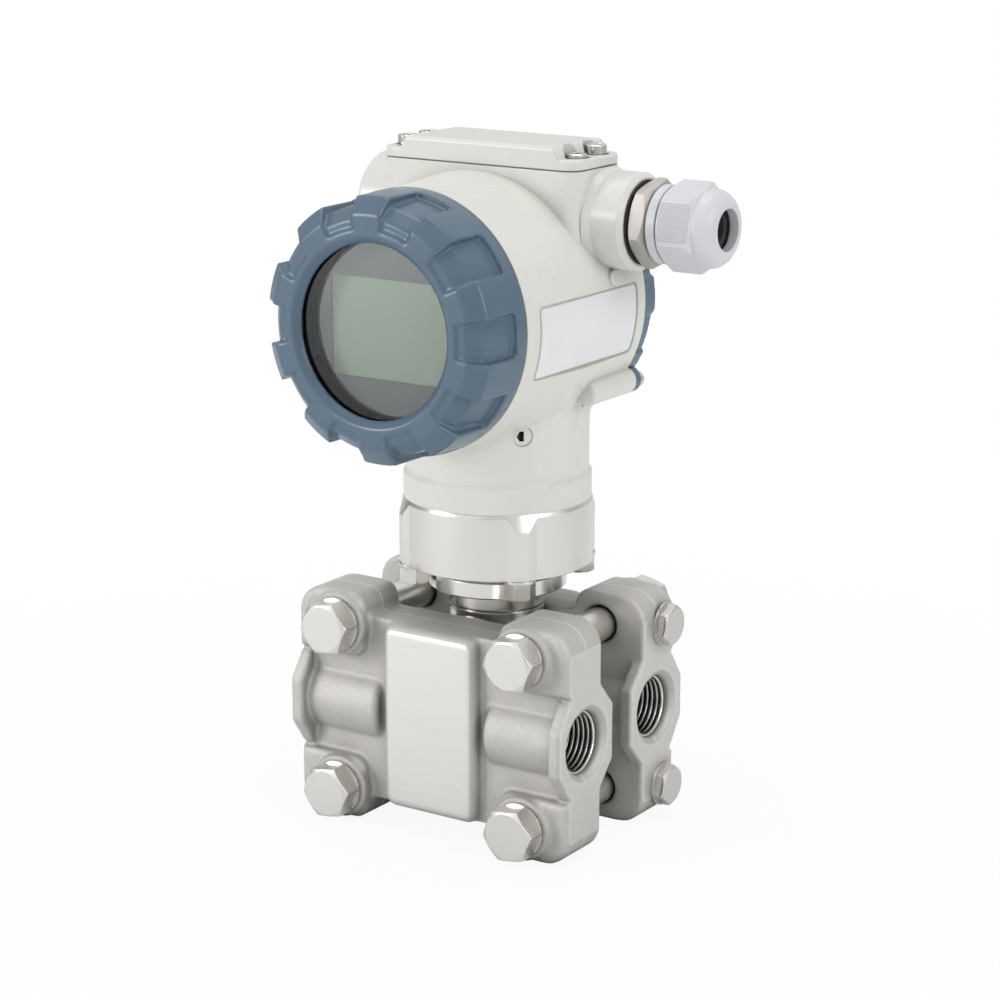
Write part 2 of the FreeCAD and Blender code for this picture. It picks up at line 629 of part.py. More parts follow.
def clamp_collar():
    """Stainless collar that hangs the stem's shoulder under the housing."""
    collar = collar_block()
    lip_bore = rod(V(0, 0, COLLAR_BOTTOM - 1), Z_AXIS, COLLAR_LIP_BORE, COLLAR_TOP)
    main_bore = rod(V(0, 0, COLLAR_BOTTOM + COLLAR_LIP), Z_AXIS, COLLAR_BORE, COLLAR_TOP)
    holes = [lip_bore, main_bore]
    for angle in clamp_angles():
        start = polar(CLAMP_SCREW_CIRCLE, angle, COLLAR_BOTTOM - 1)
        holes.append(rod(start, Z_AXIS, CLAMP_SCREW_RADIUS + 0.2, COLLAR_TOP))
    return collar.cut(Part.makeCompound(holes))


def clamp_screw(angle):
    """Screw from below, through a rib and into the housing's skirt."""
    seat = polar(CLAMP_SCREW_CIRCLE, angle, COLLAR_BOTTOM)
    down = V(0, 0, -1)
    washer = rod(seat, down, CLAMP_SCREW_FLANGE, CLAMP_SCREW_WASHER)
    start = polar(CLAMP_SCREW_CIRCLE, angle, COLLAR_BOTTOM - CLAMP_SCREW_WASHER)
    head = hex_head(start, down, CLAMP_SCREW_FLATS, CLAMP_SCREW_HEAD, turn=angle)
    reach = SKIRT_BOTTOM + CLAMP_SCREW_REACH - COLLAR_BOTTOM
    return washer.fuse(head).fuse(rod(seat, Z_AXIS, CLAMP_SCREW_RADIUS, reach))


def neck_seal():
    """Square ring between the stem's spigot and the housing's bore."""
    middle = SKIRT_BOTTOM - 1.6
    return tube(V(0, 0, middle - 1.4), Z_AXIS, COLLAR_BORE - RUN, SPIGOT_RADIUS + RUN, 2.8)


# ================================================================ housing
def barrel():
    """Cast barrel, slightly larger in the middle where the mould parts."""
    profile = [(BARREL_FRONT, 0.0), (BARREL_FRONT, BARREL_FRONT_RADIUS),
               (BARREL_MIDDLE, BARREL_MIDDLE_RADIUS), (BARREL_REAR, BARREL_REAR_RADIUS), (BARREL_REAR, 0.0)]
    return barrel_turned(profile)


def neck():
    """Column under the barrel, with the wider skirt that sits on the collar."""
    profile = [(SKIRT_BOTTOM, 0.0), (SKIRT_BOTTOM, SKIRT_RADIUS), (SKIRT_TOP - SKIRT_SLOPE, SKIRT_RADIUS),
               (SKIRT_TOP, NECK_RADIUS), (AXIS_Z, NECK_RADIUS), (AXIS_Z, 0.0)]
    return turned(profile, V(0, 0, 0), Z_AXIS)


def top_box():
    """Square top with rounded upright corners."""
    box = block(V(-BOX_HALF_WIDTH, BOX_FRONT, AXIS_Z), V(BOX_HALF_WIDTH, BOX_REAR, BOX_TOP - LID_SEAL))
    return rounded(box, BOX_CORNER, edges_along(box, Z_AXIS, lambda p: True))


def conduit_boss(side):
    """Round boss for a cable entry, flared where it leaves the box."""
    outward = V(side, 0, 0)
    flare = BOX_HALF_WIDTH + 2.6
    profile = [(CONDUIT_ROOT, 0.0), (CONDUIT_ROOT, CONDUIT_RADIUS), (BOX_HALF_WIDTH - 1.0, CONDUIT_RADIUS),
               (BOX_HALF_WIDTH, CONDUIT_FLARE), (flare, CONDUIT_RADIUS),
               (CONDUIT_END - CONDUIT_EDGE, CONDUIT_RADIUS), (CONDUIT_END, CONDUIT_RADIUS - CONDUIT_EDGE),
               (CONDUIT_END, 0.0)]
    return turned(profile, V(0, GLAND_Y, GLAND_Z), outward)


def clamp_boss():
    """Small boss along the barrel that carries the rear cover's clamp."""
    start = around_barrel(EAR_BOSS_CIRCLE, EAR_BOSS_TURN, EAR_BOSS_FRONT)
    boss = rod(start, Y_AXIS, EAR_BOSS_RADIUS, BARREL_REAR - EAR_BOSS_FRONT)
    nose = [edge for edge in boss.Edges if abs(edge.BoundBox.YMax - EAR_BOSS_FRONT) < 0.01]
    return rounded(boss, EAR_BOSS_EDGE, nose)


def chamber_cuts():
    """Both chambers, the wire way between them and the sensor's way up the neck."""
    lip = CHAMBER_THREAD
    front = [(BARREL_FRONT - 1, 0.0), (BARREL_FRONT - 1, SEAL_GROOVE_RADIUS),
             (BARREL_FRONT + SEAL_GROOVE_DEPTH, SEAL_GROOVE_RADIUS), (BARREL_FRONT + SEAL_GROOVE_DEPTH, lip),
             (BARREL_FRONT + THREAD_LENGTH, lip), (BARREL_FRONT + THREAD_LENGTH, FRONT_CHAMBER),
             (FRONT_CHAMBER_FLOOR, FRONT_CHAMBER), (FRONT_CHAMBER_FLOOR, 0.0)]
    rear = [(BARREL_REAR + 1, 0.0), (BARREL_REAR + 1, SEAL_GROOVE_RADIUS),
            (BARREL_REAR - SEAL_GROOVE_DEPTH, SEAL_GROOVE_RADIUS), (BARREL_REAR - SEAL_GROOVE_DEPTH, lip),
            (BARREL_REAR - THREAD_LENGTH, lip), (BARREL_REAR - THREAD_LENGTH, REAR_CHAMBER),
            (REAR_CHAMBER_FLOOR, REAR_CHAMBER), (REAR_CHAMBER_FLOOR, 0.0)]
    wall = REAR_CHAMBER_FLOOR - FRONT_CHAMBER_FLOOR
    wire_way = rod(V(0, FRONT_CHAMBER_FLOOR - 1, AXIS_Z + WIRE_HOLE_RISE), Y_AXIS, WIRE_HOLE, wall + 2)
    neck_way = rod(V(0, 0, SKIRT_BOTTOM - 1), Z_AXIS, SPIGOT_RADIUS + RUN, NECK_BORE_TOP - SKIRT_BOTTOM + 1)
    sensor_foot = V(0, REAR_CHAMBER_FLOOR + WIRE_WAY + 1, NECK_BORE_TOP - 1)
    sensor_way = rod(sensor_foot, Z_AXIS, WIRE_WAY, BARREL_UNDERSIDE / 4)
    return [barrel_turned(front), barrel_turned(rear), wire_way, neck_way, sensor_way]


def casting_pad():
    """Small round pad on the barrel, over the label."""
    foot = around_barrel(COVER_RADIUS - 2, CASTING_PAD_TURN, CASTING_PAD_Y)
    top = around_barrel(BARREL_MIDDLE_RADIUS + CASTING_PAD_RISE, CASTING_PAD_TURN, CASTING_PAD_Y)
    pad = rod(foot, (top - foot).normalize(), CASTING_PAD_RADIUS, (top - foot).Length)
    rim = [edge for edge in pad.Edges if edge.BoundBox.Center.distanceToPoint(top) < 0.5]
    return rounded(pad, 0.5, rim)


def lid_screw_places():
    """The four lid screws, as (x, y)."""
    return [(sx * LID_SCREW_X, LID_MIDDLE_Y + sy * LID_SCREW_Y) for sx in (-1, 1) for sy in (-1, 1)]


def key_places():
    """Middle of each setting key, along X."""
    return [-KEY_SPACING / 2, KEY_SPACING / 2]


def housing_cuts():
    """Everything drilled or milled in the casting."""
    top = BOX_TOP - LID_SEAL
    cuts = chamber_cuts()
    for side in (-1, 1):
        start = V(side * (CONDUIT_END + 1), GLAND_Y, GLAND_Z)
        cuts.append(rod(start, V(-side, 0, 0), CONDUIT_BORE, CONDUIT_END - CONDUIT_BORE_END))
    pocket_low = V(-KEY_POCKET_HALF, LID_MIDDLE_Y - KEY_POCKET_HALF_DEPTH, top - KEY_POCKET_DEPTH)
    pocket_high = V(KEY_POCKET_HALF, LID_MIDDLE_Y + KEY_POCKET_HALF_DEPTH, top + 1)
    cuts.append(block(pocket_low, pocket_high))
    for x in key_places():
        cuts.append(rod(V(x, LID_MIDDLE_Y, top - KEY_POCKET_DEPTH - 3.5), Z_AXIS, KEY_STEM + RUN, 5))
    for x, y in lid_screw_places():
        cuts.append(rod(V(x, y, top - LID_SCREW_REACH), Z_AXIS, LID_SCREW_RADIUS + RUN, LID_SCREW_REACH + 1))
    for angle in clamp_angles():
        start = polar(CLAMP_SCREW_CIRCLE, angle, SKIRT_BOTTOM - 1)
        cuts.append(rod(start, Z_AXIS, CLAMP_SCREW_RADIUS + RUN, CLAMP_SCREW_REACH + 1.6))
    cuts.append(label_strip(LABEL_SHEET + 3.0, LABEL_MARGIN))
    lock = polar(SPIGOT_RADIUS - 3.0, LOCK_SCREW_TURN, LOCK_SCREW_HEIGHT)
    outward = polar(1.0, LOCK_SCREW_TURN, 0.0)
    cuts.append(rod(lock, outward, LOCK_SCREW_RADIUS + RUN, 20))
    cuts.append(rod(V(0, BARREL_REAR, AXIS_Z), Y_AXIS, COVER_RADIUS + 1.2, 2 * NECK_RADIUS))
    cuts.append(block(V(-CONDUIT_END, BOX_FRONT - 9, top), V(CONDUIT_END, BOX_REAR + 9, LID_TOP)))
    dimple = polar(NECK_RADIUS - DIMPLE_DEPTH, DIMPLE_TURN, DIMPLE_HEIGHT)
    cuts.append(rod(dimple, polar(1.0, DIMPLE_TURN, 0.0), DIMPLE_RADIUS, DIMPLE_DEPTH + 2))
    pin = around_barrel(clamp_pin_circle(), EAR_BOSS_TURN, BARREL_REAR - 8)
    cuts.append(rod(pin, Y_AXIS, CLAMP_PIN_RADIUS + RUN, 9))
    return cuts


def neck_and_barrel():
    """Neck and barrel with the casting radius between them."""
    body = barrel().fuse(neck())
    band = []
    for edge in body.Edges:
        box = edge.BoundBox
        if box.ZMin > SKIRT_TOP + 5 and box.ZMax < AXIS_Z - 5 and box.XLength > 20:
            if box.YMin > BARREL_FRONT + 5 and box.YMax < BARREL_REAR - 0.5:
                band.append(edge)
    return rounded(body, WEB_TO_BARREL, band)


def housing():
    """The painted casting."""
    body = neck_and_barrel().fuse(top_box())
    for side in (-1, 1):
        body = body.fuse(conduit_boss(side))
    body = body.fuse(clamp_boss()).fuse(casting_pad()).removeSplitter()
    return body.cut(Part.makeCompound(housing_cuts()))


def top_lid():
    """Lid with a raised middle and four screw pockets."""
    base = block(V(-BOX_HALF_WIDTH, BOX_FRONT, BOX_TOP), V(BOX_HALF_WIDTH, BOX_REAR, BOX_TOP + LID_BASE))
    base = rounded(base, BOX_CORNER, edges_along(base, Z_AXIS, lambda p: True))
    rim = [edge for edge in base.Edges if edge.BoundBox.ZMin > BOX_TOP + LID_BASE - 0.01]
    base = rounded(base, 0.8, rim)
    outline = [(PLATEAU_LEFT - PLATEAU_SLOPE, BOX_TOP + LID_BASE - 1), (PLATEAU_LEFT, LID_TOP),
               (PLATEAU_RIGHT, LID_TOP), (PLATEAU_RIGHT + PLATEAU_SLOPE, BOX_TOP + LID_BASE - 1)]
    points = [V(x, BOX_FRONT, z) for x, z in outline]
    plateau = Part.Face(Part.makePolygon(points + [points[0]])).extrude(V(0, BOX_REAR - BOX_FRONT, 0))
    brow = [edge for edge in plateau.Edges if edge.BoundBox.ZMin > LID_TOP - 0.01]
    plateau = rounded(plateau, 1.2, brow)
    lid = base.fuse(plateau)
    cuts = []
    for x, y in lid_screw_places():
        cuts.append(rod(V(x, y, lid_screw_seat(x, y)), Z_AXIS, LID_SCREW_POCKET, 9))
        cuts.append(rod(V(x, y, BOX_TOP - 1), Z_AXIS, LID_SCREW_RADIUS + 0.2, 9))
    return lid.cut(Part.makeCompound(cuts)).removeSplitter()


def lid_gasket():
    """Flat gasket under the lid, open over the key pocket and the screws."""
    inset = LID_SEAL_INSET
    sheet = block(V(inset - BOX_HALF_WIDTH, BOX_FRONT + inset, BOX_TOP - LID_SEAL),
                  V(BOX_HALF_WIDTH - inset, BOX_REAR - inset, BOX_TOP))
    sheet = rounded(sheet, BOX_CORNER, edges_along(sheet, Z_AXIS, lambda p: True))
    sheet = sheet.cut(block(V(-KEY_POCKET_HALF, LID_MIDDLE_Y - KEY_POCKET_HALF_DEPTH, BOX_TOP - 2),
                            V(KEY_POCKET_HALF, LID_MIDDLE_Y + KEY_POCKET_HALF_DEPTH, BOX_TOP + 1)))
    for x, y in lid_screw_places():
        sheet = sheet.cut(rod(V(x, y, BOX_TOP - 2), Z_AXIS, LID_SCREW_RADIUS + 0.2, 4))
    return sheet


def lid_screw_seat(x, y):
    """Height of a lid screw's seat: one corner is counterbored."""
    counterbored = x > 0 and y < LID_MIDDLE_Y
    return BOX_TOP + LID_BASE - (LID_SCREW_DEEP_SINK if counterbored else LID_SCREW_SINK)


def lid_screw(x, y):
    """Socket head screw of the lid."""
    seat = lid_screw_seat(x, y)
    head = rod(V(x, y, seat), Z_AXIS, LID_SCREW_HEAD, LID_SCREW_HEAD_HEIGHT)
    rim = [edge for edge in head.Edges if edge.BoundBox.ZMin > seat + LID_SCREW_HEAD_HEIGHT - 0.01]
    head = head.makeChamfer(0.35, rim)
    socket = hex_prism(V(x, y, seat + LID_SCREW_HEAD_HEIGHT - 1.9), Z_AXIS, 3.0, 2.0)
    reach = seat - BOX_TOP + LID_SEAL + LID_SCREW_REACH - 1.0
    return head.cut(socket).fuse(rod(V(x, y, seat), V(0, 0, -1), LID_SCREW_RADIUS, reach))


def setting_key(x):
    """Round push key on a stem, under the lid."""
    floor = BOX_TOP - LID_SEAL - KEY_POCKET_DEPTH
    cap = rod(V(x, LID_MIDDLE_Y, floor + KEY_TRAVEL + 0.3), Z_AXIS, KEY_RADIUS, 2.0)
    rim = [edge for edge in cap.Edges if edge.BoundBox.ZMin > floor + KEY_TRAVEL + 2.2]
    cap = rounded(cap, 0.4, rim)
    stem = rod(V(x, LID_MIDDLE_Y, floor - 2.0), Z_AXIS, KEY_STEM, KEY_TRAVEL + 2.5)
    return cap.fuse(stem)


def label_strip(thickness, margin):
    """Curved strip on the barrel's right side."""
    spread = math.degrees(margin / LABEL_SEAT)
    sweep = LABEL_HIGH_TURN - LABEL_LOW_TURN + 2 * spread
    profile = [(LABEL_FRONT - margin, LABEL_SEAT), (LABEL_FRONT - margin, LABEL_SEAT + thickness),
               (LABEL_REAR + margin, LABEL_SEAT + thickness), (LABEL_REAR + margin, LABEL_SEAT)]
    strip = barrel_turned(profile, sweep)
    strip.rotate(V(0, 0, AXIS_Z), Y_AXIS, -LABEL_HIGH_TURN - spread)
    upright = [edge for edge in strip.Edges if abs(edge.Length - thickness) < 0.01]
    return rounded(strip, LABEL_CORNER, upright)


def label_plate():
    """Bare plate in its seat on the barrel."""
    return label_strip(LABEL_SHEET, 0.0)


def housing_lock_screw():
    """Socket set screw in the neck that stops the housing turning."""
    start = polar(NECK_RADIUS - LOCK_SCREW_LENGTH, LOCK_SCREW_TURN, LOCK_SCREW_HEIGHT)
    outward = polar(1.0, LOCK_SCREW_TURN, 0.0)
    screw = rod(start, outward, LOCK_SCREW_RADIUS, LOCK_SCREW_LENGTH - 0.4)
    socket = hex_prism(start + outward * (LOCK_SCREW_LENGTH - 3.0), outward, LOCK_SCREW_SOCKET, 3.0)
    return screw.cut(socket)


def conduit_plug():
    """Blanking plug with a sunk hexagon, in the left cable entry."""
    mouth = V(-CONDUIT_END, GLAND_Y, GLAND_Z)
    plug = rod(mouth, X_AXIS, CONDUIT_BORE - RUN, CONDUIT_PLUG)
    flange = rod(mouth, V(-1, 0, 0), CONDUIT_BORE + 2.2, 1.2)
    plug = plug.fuse(flange)
    return plug.cut(hex_prism(V(-CONDUIT_END - 1.3, GLAND_Y, GLAND_Z), X_AXIS, 10.0, 7.0))


def clamp_pin_circle():
    """Distance of the clamp's screw from the barrel's axis."""
    return EAR_BOSS_CIRCLE + 0.9


def rear_cover_clamp():
    """Crescent plate beside the rear cover's rim."""
    foot = around_barrel(EAR_BOSS_CIRCLE, EAR_BOSS_TURN, BARREL_REAR)
    plate = rod(foot, Y_AXIS, EAR_BOSS_RADIUS, CLAMP_PLATE)
    plate = plate.cut(rod(V(0, BARREL_REAR - 1, AXIS_Z), Y_AXIS, COVER_RADIUS + SEAT, CLAMP_PLATE + 2))
    pin = around_barrel(clamp_pin_circle(), EAR_BOSS_TURN, BARREL_REAR - 1)
    hole = rod(pin, Y_AXIS, CLAMP_PIN_RADIUS + 0.15, 9)
    return plate.cut(hole)


def cover_clamp_screw():
    """Socket head screw through the clamp plate."""
    seat = around_barrel(clamp_pin_circle(), EAR_BOSS_TURN, BARREL_REAR + CLAMP_PLATE)
    head = rod(seat, Y_AXIS, CLAMP_PIN_HEAD, 2.6)
    head = head.cut(hex_prism(seat + Y_AXIS * 1.2, Y_AXIS, 2.5, 2.0))
    return head.fuse(rod(seat, V(0, -1, 0), CLAMP_PIN_RADIUS, CLAMP_PLATE + 7.0))


# ================================================================ covers
def pocket_wedge(profile, middle):
    """One recess between two lugs: a profile turned through the recess's angle."""
    wedge = barrel_turned(profile, POCKET_ANGLE)
    wedge.rotate(V(0, 0, AXIS_Z), Y_AXIS, -middle - POCKET_ANGLE / 2)
    return wedge


def lug_angles(phase):
    """Middle of each recess, degrees about the barrel."""
    return [phase + 360.0 / LUGS * index for index in range(LUGS)]


def front_cover():
    """Painted cover with a window: rim, ten lugs, threaded spigot."""
    lip_inner = WINDOW_RADIUS
    glass_seat = GLASS_FRONT
    spigot = CHAMBER_THREAD - RUN
    profile = [(COVER_FACE + WINDOW_CHAMFER, lip_inner), (COVER_FACE, lip_inner + WINDOW_CHAMFER),
               (COVER_FACE, COVER_FACE_RADIUS - 0.8), (COVER_FACE + 0.5, COVER_FACE_RADIUS),
               (COVER_CREASE, COVER_RADIUS), (FRONT_RIM, COVER_RADIUS + 0.2), (FRONT_RIM, spigot),
               (FRONT_RIM + SPIGOT_LENGTH, spigot), (FRONT_RIM + SPIGOT_LENGTH, COVER_CAVITY),
               (glass_seat + GLASS_THICKNESS + RETAINER_HEIGHT, COVER_CAVITY),
               (glass_seat + GLASS_THICKNESS, COVER_CAVITY), (glass_seat + GLASS_THICKNESS, GLASS_RADIUS + RUN),
               (glass_seat, GLASS_RADIUS + RUN), (glass_seat, lip_inner)]
    cover = barrel_turned(profile)
    face = COVER_FACE + 0.9
    bite = [(COVER_FACE - 1, POCKET_INNER), (face, POCKET_INNER), (face, COVER_FACE_RADIUS - POCKET_SINK - 0.6),
            (COVER_CREASE + 0.9, COVER_RADIUS - POCKET_SINK - 1.2), (POCKET_REAR, COVER_RADIUS - POCKET_SINK),
            (POCKET_REAR, COVER_RADIUS + 3), (COVER_FACE - 1, COVER_RADIUS + 3)]
    wedges = [pocket_wedge(bite, angle) for angle in lug_angles(LUG_PHASE)]
    return cover.cut(Part.makeCompound(wedges))


def window_gasket():
    """Thin ring between the glass and the cover's lip."""
    start = V(0, GLASS_FRONT, AXIS_Z)
    return tube(start, Y_AXIS, GLASS_RADIUS - 0.2, WINDOW_RADIUS + 0.5, 0.6)


def front_window():
    """Toughened glass disc."""
    start = V(0, GLASS_FRONT + 0.6, AXIS_Z)
    glass = rod(start, Y_AXIS, GLASS_RADIUS, GLASS_THICKNESS - 0.6)
    return glass


def window_retainer():
    """Threaded ring that presses the glass home."""
    start = V(0, GLASS_FRONT + GLASS_THICKNESS, AXIS_Z)
    return tube(start, Y_AXIS, COVER_CAVITY, COVER_CAVITY - RETAINER_WALL, RETAINER_HEIGHT)


def rear_cover():
    """Blind cover of the terminal chamber."""
    spigot = CHAMBER_THREAD - RUN
    top = REAR_RIM + REAR_COVER_DEPTH
    profile = [(REAR_RIM, COVER_RADIUS), (top - REAR_COVER_CHAMFER, COVER_RADIUS - 0.3),
               (top, COVER_RADIUS - REAR_COVER_CHAMFER - 0.6), (top, 0.0),
               (top - REAR_COVER_WALL, 0.0), (top - REAR_COVER_WALL, COVER_CAVITY),
               (REAR_RIM - SPIGOT_LENGTH, COVER_CAVITY), (REAR_RIM - SPIGOT_LENGTH, spigot),
               (REAR_RIM, spigot)]
    cover = barrel_turned(profile)
    floor = top - 0.9
    bite = [(top + 1, POCKET_INNER), (floor, POCKET_INNER), (floor, COVER_RADIUS - REAR_COVER_CHAMFER - 1.6),
            (top - REAR_COVER_CHAMFER - 0.6, COVER_RADIUS - REAR_LUG_SINK),
            (REAR_RIM + 2.4, COVER_RADIUS - REAR_LUG_SINK), (REAR_RIM + 2.4, COVER_RADIUS + 3),
            (top + 1, COVER_RADIUS + 3)]
    wedges = [pocket_wedge(bite, angle) for angle in lug_angles(REAR_LUG_PHASE)]
    return cover.cut(Part.makeCompound(wedges))


def cover_seal(mouth, inward):
    """O-ring in the chamber's mouth, round the cover's spigot."""
    middle = mouth + inward * (SEAL_SECTION + 0.25)
    radius = CHAMBER_THREAD + SEAL_SECTION + 0.1
    return Part.makeTorus(radius, SEAL_SECTION, V(0, middle, AXIS_Z), Y_AXIS)


# ================================================================ display and electronics
def display_opening(front, back):
    """Block as wide and high as the display's glass cell."""
    middle = AXIS_Z - LCD_DROP
    low = V(-LCD_WIDTH / 2, front, middle - LCD_HEIGHT / 2)
    high = V(LCD_WIDTH / 2, back, middle + LCD_HEIGHT / 2)
    return block(low, high)


def display_module():
    """Display carrier: a flat round faceplate with the opening of the glass cell."""
    profile = [(MODULE_FRONT, 0.0), (MODULE_FRONT, DISPLAY_BODY), (BEZEL_FACE + BEZEL_THICKNESS, DISPLAY_BODY),
               (BEZEL_FACE + BEZEL_THICKNESS, BEZEL_RADIUS), (BEZEL_FACE + BEZEL_EDGE, BEZEL_RADIUS),
               (BEZEL_FACE, BEZEL_RADIUS - BEZEL_EDGE), (BEZEL_FACE, 0.0)]
    return barrel_turned(profile).cut(display_opening(BEZEL_FACE - 1, BEZEL_FACE + LCD_SINK + LCD_SHEET))


def lcd_panel():
    """Glass cell of the display, let into the faceplate."""
    return display_opening(BEZEL_FACE + LCD_SINK, BEZEL_FACE + LCD_SINK + LCD_SHEET)


def electronics_module():
    """Potted electronics cup on the chamber's floor, with the posts that carry it."""
    cup = rod(V(0, MODULE_FRONT, AXIS_Z), Y_AXIS, MODULE_RADIUS, MODULE_BACK - MODULE_FRONT)
    rim = [edge for edge in cup.Edges if abs(edge.BoundBox.YMax - MODULE_FRONT) < 0.01]
    cup = cup.makeChamfer(1.5, rim)
    for index in range(3):
        start = around_barrel(STANDOFF_CIRCLE, 30.0 + 120.0 * index, MODULE_BACK - 0.5)
        cup = cup.fuse(rod(start, Y_AXIS, STANDOFF_RADIUS, FRONT_CHAMBER_FLOOR - MODULE_BACK + 0.5))
    return cup


def terminal_places():
    """Middle of each terminal, along X."""
    return [TERMINAL_PITCH * (index - (TERMINAL_COUNT - 1) / 2.0) for index in range(TERMINAL_COUNT)]


def terminal_block():
    """Moulded block with a cup for each terminal."""
    low = V(-TERMINAL_HALF, REAR_CHAMBER_FLOOR, AXIS_Z - TERMINAL_HEIGHT)
    high = V(TERMINAL_HALF, REAR_CHAMBER_FLOOR + TERMINAL_DEPTH, AXIS_Z + TERMINAL_HEIGHT / 3)
    body = block(low, high)
    body = rounded(body, 3.0, edges_along(body, Y_AXIS, lambda p: True))
    for x in terminal_places():
        cup_low = V(x - TERMINAL_PITCH / 2 + 0.9, high.y - 4.0, low.z + 3.0)
        cup_high = V(x + TERMINAL_PITCH / 2 - 0.9, high.y + 1, high.z + 1)
        body = body.cut(block(cup_low, cup_high))
        body = body.cut(rod(V(x, high.y - 8.5, AXIS_Z - 4), Y_AXIS, 1.5 + RUN, 9))
    return body


def terminal_screw(x):
    """Cheese head screw on one terminal."""
    seat = V(x, REAR_CHAMBER_FLOOR + TERMINAL_DEPTH - 4.0, AXIS_Z - 4)
    head = rod(seat, Y_AXIS, TERMINAL_SCREW, 2.0)
    slot = block(seat + V(-TERMINAL_SCREW, 1.1, -0.4), seat + V(TERMINAL_SCREW, 3.0, 0.4))
    return head.cut(slot).fuse(rod(seat, V(0, -1, 0), 1.5, 4.0))


# ================================================================ cable gland
def gland_point(x):
    """Point on the gland's axis."""
    return V(x, GLAND_Y, GLAND_Z)


def gland_start():
    """Outer face of the gland's washer."""
    return CONDUIT_END + GLAND_WASHER


def gland_washer():
    """Black sealing washer under the lock nut."""
    return tube(gland_point(CONDUIT_END), X_AXIS, GLAND_FLATS / 2 + 0.9, CONDUIT_BORE + 0.3, GLAND_WASHER)


def gland_lock_nut():
    """Metal lock nut against the housing."""
    nut = hex_head(gland_point(gland_start()), X_AXIS, GLAND_FLATS, LOCK_NUT, LOCK_NUT_TURN, both_ends=True)
    return nut.cut(rod(gland_point(gland_start() - 1), X_AXIS, CONDUIT_BORE + RUN, LOCK_NUT + 2))


def gland_body():
    """Plastic body: entry thread, waist, round collar and the thread under the cap."""
    waist = gland_start() + LOCK_NUT
    collar = waist + GLAND_WAIST_LENGTH
    shoulder = collar + GLAND_COLLAR_LENGTH
    thread_start = CONDUIT_END - GLAND_THREAD
    body = rod(gland_point(thread_start), X_AXIS, CONDUIT_BORE - RUN, waist - thread_start)
    body = body.fuse(rod(gland_point(waist), X_AXIS, GLAND_WAIST, GLAND_WAIST_LENGTH))
    body = body.fuse(rod(gland_point(collar), X_AXIS, GLAND_COLLAR, GLAND_COLLAR_LENGTH))
    body = body.fuse(rod(gland_point(shoulder), X_AXIS, CAP_THREAD - RUN, CAP_GRIP))
    return body.cut(rod(gland_point(0), X_AXIS, GLAND_BORE, 99))


def cap_start():
    """Rear face of the cap nut."""
    return gland_start() + LOCK_NUT + GLAND_WAIST_LENGTH + GLAND_COLLAR_LENGTH + SEAT


def gland_cap():
    """Domed cap nut: hexagon, then a round nose."""
    start = cap_start()
    hexagon = hex_head(gland_point(start), X_AXIS, GLAND_FLATS, CAP_HEX, CAP_TURN, both_ends=True)
    nose = start + CAP_HEX
    dome_length = CAP_DOME
    profile = [(start, 0.0), (start, CAP_DOME_RADIUS - 0.4), (nose, CAP_DOME_RADIUS)]
    arc_steps = 6
    flat = CAP_DOME_RADIUS - CAP_ROUND
    for index in range(arc_steps + 1):
        angle = math.radians(90.0 * index / arc_steps)
        along = nose + dome_length - CAP_ROUND + CAP_ROUND * math.sin(angle)
        profile.append((along, flat + CAP_ROUND * math.cos(angle)))
    profile.append((nose + dome_length, 0.0))
    body = hexagon.fuse(turned(profile, gland_point(0), X_AXIS))
    inside = [(start - 1, 0.0), (start - 1, CAP_THREAD), (start + CAP_GRIP + 1.5, CAP_THREAD),
              (nose + dome_length - 4.0, SEAL_RING_OUTER + SEAT), (nose + dome_length - 3.0, CAP_MOUTH),
              (nose + dome_length + 1, CAP_MOUTH), (nose + dome_length + 1, 0.0)]
    return body.cut(turned(inside, gland_point(0), X_AXIS))


def gland_seal():
    """Rubber sealing ring that the cap squeezes on the cable."""
    start = cap_start() + CAP_GRIP + 0.4
    end = cap_start() + CAP_HEX + CAP_DOME - 4.3
    profile = [(start, SEAL_RING_BORE), (end, SEAL_RING_BORE), (end, SEAL_RING_OUTER - 0.5),
               (start, SEAL_RING_OUTER)]
    return turned(profile, gland_point(0), X_AXIS)


